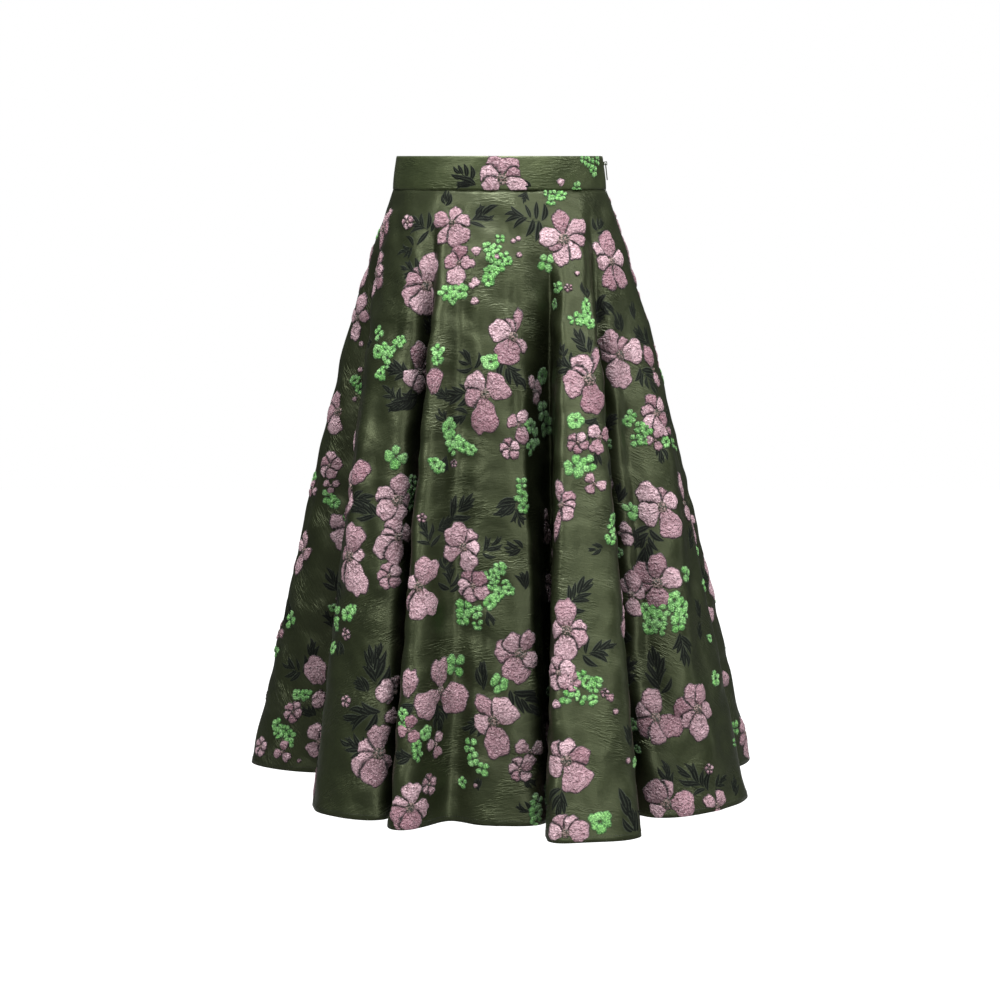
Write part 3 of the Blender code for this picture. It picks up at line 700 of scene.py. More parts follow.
BAND_BLOSSOMS = (
    (392, 186, "bud", 10, 1.0), (561, 187.5, "bud", 0, 1.2),
)
# Lime blossoms: where the photograph has them and their width, all in pixels.
FRONT_GREENS = (
    (548, 193.6, 7), (556, 195, 8), (562, 196, 8), (551, 201.5, 7), (546.8, 262, 13), (557, 288, 9),
    (555, 304, 8), (500, 238.5, 8), (488, 247, 9), (495.5, 248.5, 8), (491, 257, 8), (505, 256.5, 8),
    (498, 266, 9), (503, 261, 7), (508, 261.5, 7), (490, 272.5, 9), (494.5, 270, 8), (488.4, 280.5, 9),
    (447, 293, 11), (460, 291.5, 11), (453, 299, 8), (586.5, 305, 9), (587.6, 314, 9), (583.6, 318.7, 9),
    (589.4, 323.3, 9), (574.4, 318.7, 9), (579.6, 322, 7), (490.9, 361.7, 13), (542, 376, 14),
    (543.5, 410.8, 14), (546.3, 426.3, 14), (530.8, 426.3, 13), (536.5, 438, 14), (530.8, 447.3, 11),
    (448.8, 428.4, 14), (453, 440, 12), (453.7, 449, 10), (463.5, 446.6, 10), (470.5, 449.4, 9),
    (434.7, 462.8, 9), (439.5, 468.4, 9), (522, 483.8, 9), (522.5, 496.4, 10), (523, 507.7, 9),
    (575.7, 420.7, 14), (574.3, 466.3, 15), (588.4, 464.2, 14), (630.6, 417, 10), (627, 421.5, 9),
    (639.5, 427, 9), (646, 429.7, 10), (635.7, 440, 10), (644, 440, 8), (666.3, 442.5, 9),
    (673, 443.8, 8), (630.6, 510, 13), (613.4, 519, 8), (612, 529, 8), (612, 539.4, 10), (618.5, 552, 7),
    (396, 456.4, 16), (329, 496.5, 11), (334, 503, 10), (314.4, 476, 9), (342, 520, 7), (412.6, 480, 10),
    (411.5, 492, 10), (410.5, 504, 9), (336.7, 615, 12), (334, 608, 8), (347.4, 613, 12),
    (352.5, 609.5, 8), (336.5, 624, 9), (332.7, 648, 9), (290.8, 619.5, 13), (276, 651, 9),
    (297, 695.5, 9), (305.7, 695.5, 10), (277.5, 726, 11), (278.7, 734, 9), (286.7, 730.5, 9),
    (289.6, 737.4, 10), (289, 744.3, 9), (402, 714, 8), (402, 723, 8), (464.7, 608, 13),
    (461.9, 618.7, 10), (476, 611.5, 9), (477.3, 625, 8), (499.5, 569, 9), (489, 575, 8), (496, 578.5, 8),
    (492, 585.5, 8), (505.6, 584, 8), (499, 594, 9), (508.7, 590, 8), (490, 602, 10), (496, 598, 8),
    (455.5, 665.8, 16), (499, 683.4, 13), (424.9, 734.5, 10), (428.6, 731, 8), (417, 746.5, 9),
    (418, 755, 9), (470, 745.4, 11), (472.5, 759, 11), (481.5, 768.4, 10), (462.3, 782, 8),
    (537.4, 802, 11), (536, 813, 11), (536, 821, 9), (548, 691.8, 8), (582.5, 676.7, 9), (586, 684, 8),
    (596, 682.4, 9), (592.5, 688, 8), (567, 697.7, 10), (575, 692, 8), (580.6, 698.5, 9), (593, 699.5, 9),
    (645.7, 609.7, 12), (657, 607.8, 12), (651.4, 617.4, 11), (660, 620, 11), (649.5, 627, 11),
    (659, 629, 10), (674.4, 600.2, 12), (682, 606.5, 11), (672.4, 613.5, 11), (684, 616, 9),
    (678.2, 624, 11), (686.8, 574.3, 12), (704, 584.9, 10), (715.5, 678.6, 11), (709.4, 638.4, 7),
    (734.6, 728.4, 12), (734, 743.7, 7), (633.2, 724.5, 8), (634.7, 762.8, 8), (637, 749.4, 6),
    (600, 822, 15), (378.2, 333, 11), (378, 351.5, 11), (384.5, 350, 10), (396.6, 344, 10),
    (399.8, 340.4, 9), (392.5, 349.5, 8), (387.4, 357.6, 10), (385.8, 365, 8), (380.5, 373.5, 10),
    (355.2, 380.6, 8), (360.6, 389.8, 9), (438, 350, 9), (437.5, 360, 8),
)
BAND_GREENS = (
    (583.6, 159.5, 8), (590.5, 163, 9), (593.5, 171, 9), (576.7, 187.5, 8), (597, 160, 7),
)
# Dark leaf sprays: where the photograph has their stalks, which way they point, the number of leaves,
# a leaf's length in pixels and the fan's spread.
FRONT_SPRAYS = (
    (445, 206, 90, 2, 13, 40), (431, 232, 150, 6, 15, 170), (469, 222, 32, 5, 17, 90),
    (527, 192, -110, 3, 9, 90), (542, 221, 170, 7, 17, 190), (417, 272, 165, 5, 12, 120),
    (474, 369, 135, 4, 14, 120), (471, 393, 188, 5, 17, 80), (468, 414, 205, 4, 14, 70),
    (504, 362, -55, 5, 17, 80), (447, 456, -100, 3, 12, 60), (450, 521, 48, 6, 17, 110),
    (518, 502, 205, 3, 17, 40), (515, 507, -75, 5, 11, 120), (590, 354, 115, 5, 16, 90),
    (577, 370, 165, 6, 15, 110), (597, 418, 245, 5, 14, 100), (610, 481, 75, 5, 16, 80),
    (618, 502, 80, 3, 13, 60), (621, 332, 100, 3, 13, 60), (650, 346, 130, 5, 15, 90),
    (640, 368, -60, 6, 16, 120), (660, 446, -95, 3, 12, 50), (650, 526, -110, 7, 19, 120),
    (690, 549, 60, 5, 14, 90), (352, 500, 15, 4, 15, 80), (378, 516, 175, 5, 18, 80),
    (338, 580, -70, 5, 14, 90), (377, 686, 105, 6, 19, 80), (368, 692, 150, 3, 14, 60),
    (381, 712, 195, 6, 21, 90), (371, 752, 165, 6, 17, 80), (303, 673, 165, 5, 15, 140),
    (315, 660, 110, 4, 14, 60), (316, 716, 150, 3, 12, 70), (438, 703, -85, 5, 16, 70),
    (415, 706, -140, 4, 12, 80), (483, 690, 90, 4, 17, 36), (486, 723, 195, 5, 14, 100),
    (510, 690, -38, 7, 18, 80), (525, 778, -40, 3, 9, 80), (530, 813, 150, 3, 10, 70),
    (413, 757, 180, 4, 13, 70), (478, 791, 90, 3, 9, 60), (567, 606, 45, 6, 17, 110),
    (583, 655, 15, 6, 17, 120), (632, 640, 175, 4, 12, 90), (635, 681, 170, 6, 17, 90),
    (631, 748, 95, 4, 14, 60), (637, 836, 108, 6, 22, 46), (680, 633, -85, 6, 16, 80),
    (661, 693, 95, 7, 20, 90), (708, 791, 135, 7, 18, 130), (715, 789, 25, 4, 12, 90),
    (672, 789, 105, 5, 15, 70), (735, 796, 70, 4, 12, 60), (562, 788, -95, 5, 16, 60),
    (700, 619, 100, 4, 13, 60), (372, 342, 190, 3, 11, 60), (411, 375, 165, 5, 16, 90),
    (405, 406, 145, 6, 15, 140), (419, 394, 205, 5, 18, 60), (450, 398, 150, 3, 12, 80),
    (600, 300, -50, 3, 13, 40), (525, 590, 100, 3, 13, 70), (340, 640, -80, 3, 11, 50),
    (413, 246, 205, 4, 13, 120), (446, 421, 120, 3, 10, 80), (597, 233, 62, 4, 12, 90),
    (588, 298, 105, 3, 11, 60), (563, 357, 100, 3, 10, 70), (597, 451, -100, 3, 11, 70),
    (634, 320, 80, 4, 12, 50), (629, 243, -55, 3, 11, 60), (431, 547, 108, 6, 14, 120),
    (438, 530, 30, 4, 12, 90), (450, 592, 95, 5, 14, 110), (445, 571, 70, 4, 12, 90),
    (482, 553, 42, 5, 13, 100), (487, 611, -65, 3, 11, 60), (523, 549, 172, 4, 12, 80),
    (603, 548, 190, 4, 10, 90), (374, 666, 78, 3, 15, 40), (641, 549, 110, 4, 13, 90),
    (700, 640, 80, 3, 12, 60),
)
BAND_SPRAYS = (
    (470, 181, 140, 4, 14, 110), (476, 185.5, 178, 3, 15, 40), (531, 187, 150, 2, 8, 60),
)

# The hidden sides carry this charted repeat: across and down in millimetres from a repeat's corner.
REPEAT_WIDTH, REPEAT_HEIGHT, REPEAT_SHIFT = 238.0, 262.0, 0.42
REPEAT_TOP, REPEATS_ACROSS, REPEATS_DOWN = 60.0, range(-4, 5), range(5)
BAND_REPEAT_START = 40.0
CLEAR_OF_SEEN = 45.0  # how far the chart's motifs keep from the blossoms seen in the photograph
BEHIND = 0.02  # in metres: cloth that lies further back can't be seen in the photograph
REPEAT_BLOSSOMS = (
    (40, 44, "five", 0, 1), (62, 96, "small", 10, 1.15), (20, 108, "ragged", 0, 1),
    (172, 60, "seven", 0, 1), (112, 172, "four", 0, 1), (206, 150, "cross", 0, 0.95),
    (164, 208, "small", 30, 1), (60, 214, "tiny", 0, 1), (132, 36, "tiny", 20, 0.8),
    (216, 226, "trio", 20, 1), (84, 78, "trio", 40, 0.9), (150, 112, "bud", 20, 0.9),
    (142, 120, "bud", 200, 0.9), (12, 190, "three", 10, 0.9),
)
REPEAT_GREENS = (
    (92, 88, 9), (100, 98, 9), (90, 108, 8), (104, 112, 9), (84, 120, 9), (112, 90, 8), (84, 44, 12),
    (98, 40, 10), (188, 108, 10), (176, 114, 9), (60, 170, 13), (70, 182, 10), (82, 188, 9),
    (144, 232, 12), (156, 240, 11), (226, 200, 12), (36, 240, 10), (28, 250, 9), (204, 20, 12),
    (150, 160, 9),
)
REPEAT_SPRAYS = (
    (70, 34, 35, 5, 21, 90), (0, 62, 150, 5, 19, 130), (138, 70, 170, 6, 20, 150),
    (82, 158, 165, 5, 20, 100), (140, 150, 20, 4, 18, 70), (190, 188, 230, 5, 20, 100),
    (110, 220, 250, 5, 20, 80), (228, 120, 70, 5, 19, 90), (184, 240, 20, 4, 17, 80),
    (30, 150, 70, 4, 18, 80),
)
BAND_REPEAT_BLOSSOMS = (
    (30, 24, "five", 0, 0.8), (150, 16, "round", 10, 0.8), (236, 34, "small", 0, 1),
)
BAND_REPEAT_GREENS = (
    (70, 12, 10), (80, 20, 9), (200, 30, 11), (115, 36, 9),
)
BAND_REPEAT_SPRAYS = (
    (58, 30, 10, 4, 17, 80), (118, 14, 170, 4, 17, 90), (190, 12, 40, 4, 15, 90),
)

FRONT_MOTIFS = (FRONT_BLOSSOMS, FRONT_SHAPED, FRONT_GREENS, FRONT_SPRAYS)
BAND_MOTIFS = (BAND_BLOSSOMS, BAND_SHAPED, BAND_GREENS, BAND_SPRAYS)
REPEAT_MOTIFS = (REPEAT_BLOSSOMS, REPEAT_GREENS, REPEAT_SPRAYS)
BAND_REPEAT_MOTIFS = (BAND_REPEAT_BLOSSOMS, BAND_REPEAT_GREENS, BAND_REPEAT_SPRAYS)


def petal_root(level):
    """How much narrower a petal is towards its root, from its middle's level of 0 to -1."""
    return (0.60 + 0.40 * np.clip((level + 1) / 1.2, 0, 1) ** 0.8) * (1 + 0.1 * np.clip(level, 0, 1))


def disc(rings):
    """A square grid bent into a disc, finer at its rim: its points, radii and faces."""
    line = np.sin(np.linspace(-1, 1, rings) * math.pi / 2)
    p, q = np.meshgrid(line, line)
    x, y = (p * np.sqrt(1 - q * q / 2)).ravel(), (q * np.sqrt(1 - p * p / 2)).ravel()
    return x, y, np.minimum(np.hypot(x, y), 1.0), grid_faces(rings, rings, flip=True)


def side_by_side(*parts):
    """Columns of a table, where one number stands for a whole column."""
    return np.column_stack(np.broadcast_arrays(*parts))


class Motifs:
    """Gathers shapes that lie raised on the cloth, to be joined into one piece."""

    def __init__(self, cloth, base, puff):
        self.cloth, self.base, self.puff, self.fine = cloth, base, puff, True
        self.ways, self.faces, self.relief, self.grain, self.count = [], [], [], [], 0
        self.random = np.random.default_rng(11)

    def crinkle(self, x, y, size):
        """Crumpled relief from about -1 to 1, different on every call."""
        relief = np.zeros(len(x))
        for _ in range(5):
            angle, phase = self.random.uniform(0, math.tau, 2)
            wave = math.tau / (size * self.random.uniform(0.8, 1.6))
            relief += np.abs(np.sin((x * math.cos(angle) + y * math.sin(angle)) * wave / 2 + phase))
        return relief / 5 * 3 - 1.9

    def add(self, place, turn, side, along, lift, faces, relief, grain, at=(0.0, 0.0)):
        """Points beside and along a heading, in millimetres, from a point near a place on the cloth.

        Relief is (root, rim, heart) and grain is (beside, along, tint), for the materials.
        """
        across = at[0] + along * math.cos(turn) - side * math.sin(turn)
        up = at[1] + along * math.sin(turn) + side * math.cos(turn)
        self.ways.append(side_by_side(*place, across, -up, lift + self.base))
        self.faces.append(faces + self.count)
        self.relief.append(side_by_side(*relief))
        self.grain.append(side_by_side(*grain))
        self.count += len(side)

    def petal(self, place, petal, rings, puff, crumple, above=()):
        """One petal; those above it press its edge down and leave a dark line on it, which is painted shadow.
        """
        x, y, radius, faces = disc(rings)
        angle = np.arctan2(y, x)
        phase = self.random.uniform(0, 6, 3)
        wobble = 1 + 0.05 * np.sin(3 * angle + phase[0]) + 0.05 * np.sin(5 * angle + phase[1])
        wobble += 0.035 * np.sin(8 * angle + phase[2])
        side = petal.half_width * x * petal_root(y) * wobble
        along = petal.reach * (0.53 + 0.47 * y * wobble)
        dip = petal.notch * NOTCH * petal.reach * np.exp(-((x / NOTCH_WIDTH) ** 2))
        along -= dip * np.clip(y, 0, 1) ** 1.5
        relief = self.crinkle(side, along, crumple)
        dome = (1 - radius**3) ** 0.6
        # the dark edge round the petal: partly woven outline, partly painted shadow on the cloth beside it
        rim = np.clip(1 - (1 - radius) * petal.half_width / RIM, 0, 1)
        lift = puff * dome * (1 + 0.3 * relief) * (0.7 + 0.3 * np.clip((y + 1) / 0.9, 0, 1))
        for other in above:
            turn = math.radians(petal.direction - other.direction)
            ahead = along * math.cos(turn) - side * math.sin(turn)
            beside = along * math.sin(turn) + side * math.cos(turn)
            level = (ahead / other.reach - 0.53) / 0.47
            apart = np.hypot(beside / petal_root(level) / other.half_width, level) - 1
            apart = apart * other.half_width
            lift *= np.clip((apart + 1.0) / 2.5, 0, 1)
            # painted shadow along the edge of each petal that lies above
            rim = np.maximum(rim, np.clip(1 - apart / RIM, 0, 1))
        root = np.clip(1 - along / petal.reach / 0.6, 0, 1)
        grain = (side, along, self.random.uniform(0, 1))
        turn = math.radians(petal.direction)
        self.add(place, turn, side, along, lift - SUNK, faces, (root, rim, 0), grain)

    def heart(self, place, radius, lift):
        x, y, reach, faces = disc(9)
        side, along = x * radius, y * radius
        relief = self.crinkle(side, along, HEART_CRUMPLE)
        height = lift * (1 - reach**4) * (1 + 0.4 * relief) - SUNK
        self.add(place, 0, side, along, height, faces, (0, reach**3, 1), (side, along, 0.5))

    def blossom(self, place, kind, turn, scale):
        self.shaped(place, *BLOSSOMS[kind], turn, scale)

    def shaped(self, place, heart, petals, turn=0, scale=1):
        random = self.random.uniform
        shapes = []
        for way, reach, half_width, *notch in petals:
            reach *= scale * random(0.96, 1.08)
            shapes.append(Petal(way + turn + random(-4, 4), reach, half_width * scale * 1.1, len(notch)))
        for i, petal in enumerate(shapes):
            size = petal.half_width
            rings = 15 if size > 8 and self.fine else 11 if size > 8 else 9 if size > 5 else 7
            height = self.puff * (0.6 + 0.4 * min(1.0, size / 12)) * random(0.88, 1.12)
            self.petal(place, petal, rings, height, min(PETAL_CRUMPLE, size), shapes[i + 1 :])
        if heart:
            self.heart(place, heart * scale, self.puff * 0.9)

    def green(self, place, width):
        """A small lime blossom of four to six round petals, from its width in pixels."""
        width = width * PIXEL * 1.2
        petals = int(self.random.integers(4, 7))
        first = self.random.uniform(0, 90)
        for i in range(petals):
            reach = width * 0.63 * self.random.uniform(0.78, 1.2)
            way = first + (i + self.random.uniform(-0.2, 0.2)) * 360 / petals
            petal = Petal(way, reach, width * self.random.uniform(0.24, 0.34), 0)
            self.petal(place, petal, 7 if self.fine else 5, GREEN_PUFF, GREEN_CRUMPLE)

    def leaf(self, place, at, direction, length, half_width):
        rows, columns = 9, 5
        u = np.repeat(np.linspace(0, 1, rows), columns)
        v = np.tile(np.linspace(-1, 1, columns), rows)
        bend = self.random.uniform(-0.2, 0.2) * length
        swell = np.sin(math.pi * np.clip(u, 0.01, 0.99) ** 0.85) ** 0.8
        side = half_width * v * swell + bend * u * (1 - u) * 4
        lift = 0.6 * (1 - v * v) * np.sin(math.pi * u) - 0.25 * np.exp(-((v / 0.3) ** 2)) + 0.1
        along, turn = length * u, math.radians(direction)
        relief, grain = (1 - np.abs(v), v * v, 0), (side, along, self.random.uniform(0, 1))
        self.add(place, turn, side, along, lift, grid_faces(rows, columns, flip=True), relief, grain, at)

    def spray(self, place, direction, count, length, spread):
        """Leaves that stand off a stem on alternate sides, the last one at its tip."""
        turn = math.radians(direction)
        stem = length * 0.2 * count
        for i in range(count + 2):
            share = i / (count + 1)
            side = 1 if i % 2 else -1
            heading = direction + side * spread / 2 * (1 - share) ** 0.7 * self.random.uniform(0.85, 1.15)
            size = length * self.random.uniform(0.9, 1.3) * (1 - 0.2 * share)
            start = (stem * share * math.cos(turn), stem * share * math.sin(turn))
            self.leaf(place, start, heading, size, size * self.random.uniform(0.15, 0.20))
        self.leaf(place, (0, 0), direction, stem + length * 0.3, STEM_HALF_WIDTH)

    def piece(self, name, material):
        points, opens = self.cloth.trace(*np.concatenate(self.ways).T)
        relief, grain = np.concatenate(self.relief), np.concatenate(self.grain)
        attributes = (("relief", relief), ("grain", grain), ("open", opens))
        return add_piece(name, points, np.concatenate(self.faces), material, attributes)


def seen_places(cloth, rows):
    """From rows that start with a pixel, the cloth's place there and the rest of the row."""
    for x, y, *rest in rows:
        place = cloth.under_pixel(x, y)
        if place is not None:
            yield place, rest


def panel_finder(cloth, panel):
    """A way from (across, down) on a flat panel to the cloth's place and turn there.

    The panel is laid flat as an arc of a ring of cloth, with the repeat running straight across it.
    """
    first, last = panel.first * STEPS, panel.last * STEPS
    span = cloth.run[:, cloth.columns + last] - cloth.run[:, cloth.columns + first]
    fall = cloth.fall[:, first : last + 1].mean(axis=1)
    rows = np.arange(cloth.rows)

    def find(x, y):
        angle = math.degrees(math.atan2(x, y))
        drop = math.hypot(x, y) - panel.radius
        if not 0 <= drop <= fall[-1] or abs(angle) > panel.spread / 2:
            return None
        row = np.interp(drop, fall, rows)
        low = int(row)
        run = cloth.run[low, cloth.columns + first] + span[low] * (angle / panel.spread + 0.5)
        return (np.interp(run, cloth.run[low], cloth.run_columns), row), angle

    return find


# ---- Materials -------------------------------------------------------------------------------------

OPEN_RANGE = (0.36, 1.0)  # painted shade in the folds: from how open cloth is where it is painted darkest to where none is painted
OLIVES = ((0.0125, 0.017, 0.007), (0.0215, 0.028, 0.0115))  # the skirt's cloth at its darkest and lightest
BAND_PAINTED_SHEEN = 2.6  # how many times lighter the waistband's cloth is made: painted light, for the sheen it catches


class Nodes:
    """A material being built: each call adds a node and links or sets its inputs."""

    def __init__(self, name):
        self.material = bpy.data.materials.new(name)
        self.material.use_nodes = True
        self.tree = self.material.node_tree
        self.shader = self.tree.nodes["Principled BSDF"]

    def add(self, kind, inputs=(), **settings):
        node = self.tree.nodes.new(kind)
        for key, value in settings.items():
            setattr(node, key, value)
        for key, value in dict(inputs).items():
            self.put(node.inputs[key], value)
        return node

    def put(self, socket, value):
        if isinstance(value, bpy.types.NodeSocket):
            self.tree.links.new(value, socket)
        else:
            socket.default_value = value

    def set(self, **inputs):
        for key, value in inputs.items():
            self.put(self.shader.inputs[key.replace("_", " ")], value)

    def attribute(self, name):
        return self.add("ShaderNodeAttribute", attribute_name=name)

    def parts(self, name):
        """The three parts of an attribute that is a vector."""
        split = self.add("ShaderNodeSeparateXYZ", {"Vector": self.attribute(name).outputs["Vector"]})
        return [split.outputs[axis] for axis in "XYZ"]

    def place(self):
        return self.add("ShaderNodeTexCoord").outputs["Object"]

    def stretched(self, vector, scale):
        return self.add("ShaderNodeMapping", {"Vector": vector, "Scale": scale}).outputs["Vector"]

    def noise(self, vector, scale, detail=3.0, roughness=0.55):
        inputs = {"Vector": vector, "Scale": scale, "Detail": detail, "Roughness": roughness}
        return self.add("ShaderNodeTexNoise", inputs).outputs["Fac"]

    def worm(self, vector, width):
        """0 along the lines of a winding net and 1 between them."""
        value = self.maths("SUBTRACT", self.noise(vector, 1.0, 1.5, 0.5), 0.5)
        return self.ramp(self.maths("ABSOLUTE", value, 0.0), 0.0, width)

    def maths(self, operation, a, b):
        return self.add("ShaderNodeMath", {0: a, 1: b}, operation=operation).outputs["Value"]

    def mix(self, share, a, b, blend="MIX"):
        node = self.add("ShaderNodeMix", data_type="RGBA", blend_type=blend)
        for key, value in (("Factor", share), ("A", a), ("B", b)):
            self.put(node.inputs[key], (*value, 1) if isinstance(value, tuple) else value)
        return node.outputs["Result"]

    def ramp(self, value, low, high):
        node = self.add("ShaderNodeMapRange", {"Value": value, "From Min": low, "From Max": high})
        return node.outputs["Result"]

    def part(self, value, low, high, most):
        """A ramp that only reaches up to most."""
        return self.maths("MULTIPLY", self.ramp(value, low, high), most)

    def shaded(self, colour, least=0.3):
        """The colour with painted shade, darker where the cloth lies deep between folds."""
        deep = self.mix(1.0, colour, (least, least, least), "MULTIPLY")
        return self.mix(self.ramp(self.attribute("open").outputs["Fac"], *OPEN_RANGE), deep, colour)

    def bump(self, height, strength, distance, normal=None):
        node = self.add("ShaderNodeBump", {"Height": height, "Strength": strength, "Distance": distance})
        if normal is not None:
            self.put(node.inputs["Normal"], normal)
        return node.outputs["Normal"]


def jacquard_material(name, pale=1.0):
    """Satin with soft dents and patches of fine crosswise crinkles, and painted shade deep in the folds; the
    inside shows the duller wrong side.

    Pale is how many times lighter the outside is than the skirt's: painted light, for the sheen that the
    waistband catches.
    """
    made = Nodes(name)
    weave = made.attribute("weave").outputs["Vector"]
    inside = made.attribute("inside").outputs["Fac"]
    crinkle = made.noise(made.stretched(weave, (0.09, 0.42, 1.0)), 1.0, 4.0, 0.6)
    patches = made.ramp(made.noise(made.stretched(weave, (0.014, 0.02, 1.0)), 1.0, 2.0), 0.50, 0.66)
    dents = made.noise(made.stretched(weave, (0.032, 0.032, 1.0)), 1.0, 2.0, 0.45)
    grain = made.noise(weave, 0.8, 2.0, 0.7)
    dark, light = (tuple(part * pale for part in shade) for shade in OLIVES)
    olive = made.mix(made.ramp(dents, 0.3, 0.7), dark, light)
    duller = made.mix(1.0, olive, (0.72, 0.72, 0.72), "MULTIPLY")
    olive = made.mix(made.ramp(grain, 0.3, 0.7), duller, olive)
    wrong = made.mix(made.ramp(crinkle, 0.3, 0.7), (0.014, 0.018, 0.009), (0.026, 0.031, 0.017))
    # painted shade deep in the folds on the outside, and the wrong side inside
    made.set(Base_Color=made.mix(inside, made.shaded(olive, 0.2), wrong))
    sheen = made.add("ShaderNodeMapRange", {"Value": grain, "To Min": 0.36, "To Max": 0.48})
    made.set(Roughness=sheen.outputs["Result"])
    made.set(Specular_Tint=(0.84, 0.95, 0.55, 1), Specular_IOR_Level=0.74)
    ridges = made.maths("SUBTRACT", 1.0, made.worm(made.stretched(weave, (0.055, 0.26, 1.0)), 0.1))
    ridges = made.maths("MULTIPLY", ridges, made.maths("ADD", made.maths("MULTIPLY", patches, 0.97), 0.03))
    pulls = made.worm(made.stretched(weave, (0.017, 0.022, 1.0)), 0.12)
    normal = made.bump(dents, 0.35, 0.004)
    normal = made.bump(pulls, 0.12, 0.003, normal)
    normal = made.bump(ridges, 0.55, 0.0011, normal)
    normal = made.bump(crinkle, 0.32, 0.001, normal)
    made.set(Normal=made.bump(grain, 0.25, 0.0004, normal))
    return made.material


def blossom_material():
    """Crumpled pink petals, streaked at their roots, with hearts mottled olive and pink. Painted shade
    darkens their crumples and folds and the skirt's hollows, painted light makes some petals lighter than
    others at random, and their dark edges are woven outline with painted shadow.
    """
    made = Nodes("pink blossom")
    root, rim, heart = made.parts("relief")
    grain = made.attribute("grain").outputs["Vector"]
    tint = made.parts("grain")[2]
    place = made.place()
    folds = made.noise(place, 170.0, 2.0)
    crumple = made.noise(place, 380.0, 2.0, 0.5)
    # painted light and shade: each petal lighter or darker at random, for petals that catch the sheen and
    # petals turned away
    pink = made.mix(made.ramp(tint, 0.0, 1.0), (0.97, 0.67, 0.74), (0.44, 0.23, 0.28))
    # painted shade: darker in the hollows of the crumples and folds that the bumps below raise
    pink = made.mix(made.ramp(crumple, 0.60, 0.40), pink, made.mix(0.34, pink, (0.18, 0.045, 0.07)))
    pink = made.mix(made.ramp(folds, 0.54, 0.32), pink, made.mix(0.42, pink, (0.16, 0.04, 0.06)))
    rays = made.ramp(made.noise(made.stretched(grain, (0.75, 0.09, 0.0)), 1.0, 2.0), 0.54, 0.42)
    rays = made.maths("MULTIPLY", rays, made.ramp(root, 0.15, 0.8))
    pink = made.mix(rays, pink, (0.07, 0.04, 0.03))
    # the dark edge: partly woven outline, partly painted shadow where petals overlap
    pink = made.mix(made.ramp(rim, 0.0, 0.6), pink, (0.022, 0.010, 0.011))
    mottle = made.ramp(made.noise(place, 420.0, 2.0), 0.46, 0.56)
    mottle = made.mix(mottle, (0.028, 0.034, 0.014), (0.36, 0.24, 0.22))
    made.set(Base_Color=made.shaded(made.mix(heart, pink, mottle), 0.28), Roughness=0.42)
    made.set(Sheen_Weight=0.2, Sheen_Roughness=0.5, Sheen_Tint=(1.0, 0.85, 0.9, 1))
    normal = made.bump(folds, 1.0, 0.0055)
    made.set(Normal=made.bump(crumple, 1.0, 0.0046, normal))
    return made.material


def green_material():
    """Lime petals, crumpled as the pink ones are, with darker eyes, dark edges of woven outline and painted
    shadow, and painted shade in their crumples and in the skirt's hollows.
    """
    made = Nodes("lime blossom")
    root, rim, _ = made.parts("relief")
    crumple = made.noise(made.place(), 430.0, 2.5, 0.6)
    lime = made.mix(made.ramp(made.parts("grain")[2], 0.0, 1.0), (0.23, 0.66, 0.14), (0.46, 0.93, 0.33))
    # painted shade: darker in the hollows of the crumples
    lime = made.mix(made.ramp(crumple, 0.60, 0.40), lime, made.mix(0.72, lime, (0.01, 0.10, 0.01)))
    lime = made.mix(made.part(root, 0.35, 1.0, 0.8), lime, (0.012, 0.09, 0.012))
    # the dark edge: partly woven outline, partly painted shadow
    lime = made.mix(made.part(rim, 0.1, 0.9, 0.92), lime, (0.006, 0.03, 0.008))
    made.set(Base_Color=made.shaded(lime, 0.3), Roughness=0.5)
    made.set(Sheen_Weight=0.15, Sheen_Tint=(0.8, 1.0, 0.8, 1))
    made.set(Normal=made.bump(crumple, 1.0, 0.0040))
    return made.material


def leaf_material():
    """Black-green leaves with paler threads along their ribs and edges, and painted shade in the skirt's
    hollows.
    """
    made = Nodes("dark leaf")
    rib, edge, _ = made.parts("relief")
    grain = made.attribute("grain").outputs["Vector"]
    thread = made.noise(made.stretched(grain, (0.9, 0.5, 0.0)), 1.0, 3.0)
    black = made.mix(made.ramp(thread, 0.35, 0.65), (0.0015, 0.0022, 0.0016), (0.008, 0.011, 0.0075))
    black = made.mix(made.part(rib, 0.75, 1.0, 0.6), black, (0.05, 0.062, 0.042))
    black = made.mix(made.part(edge, 0.5, 0.8, 0.9), black, (0.062, 0.076, 0.05))
    made.set(Base_Color=made.shaded(black), Roughness=0.6, Specular_IOR_Level=0.12)
    made.set(Normal=made.bump(thread, 0.9, 0.0008))
    return made.material


def plain_material(name, low, high, roughness, metallic=0.0, scale=900.0, bump=0.00015):
    """A material whose colour and surface vary finely, for the zip and the threads."""
    made = Nodes(name)
    grain = made.noise(made.place(), scale, 3.0)
    made.set(Base_Color=made.mix(grain, low, high), Roughness=roughness, Metallic=metallic)
    made.set(Normal=made.bump(grain, 0.5, bump))
    return made.material


# ---- Sewing and the zip ----------------------------------------------------------------------------


def hem_stitches(cloth, material):
    """A line of small stitches above the hem's edge, on the outside."""
    row = np.interp(cloth.fall[-1, 0] - HEM_STITCHES, cloth.fall[:, 0], np.arange(cloth.rows))
    low = int(row)
    girth = cloth.run[low, 2 * cloth.columns] - cloth.run[low, cloth.columns]
    count = int(girth / STITCH_PITCH)
    starts = np.arange(count) * girth / count
    across = np.repeat(starts, 6) + np.tile(np.repeat([0.0, STITCH / 2, STITCH], 2), count)
    down = np.tile([-STITCH_HALF_WIDTH, STITCH_HALF_WIDTH], 3 * count)
    lift = np.tile(np.repeat([-SUNK, STITCH_HEIGHT, -SUNK], 2), count) + CLOTH / 2 + HEM_EXTRA / 2
    flat = np.zeros(len(across))
    points = cloth.trace(flat, flat + row, across, down, lift)[0]
    faces = np.array([(0, 1, 3, 2), (2, 3, 5, 4)]) + 6 * np.arange(count)[:, None, None]
    return add_piece("hem_stitches", points, faces.reshape(-1, 4), material)


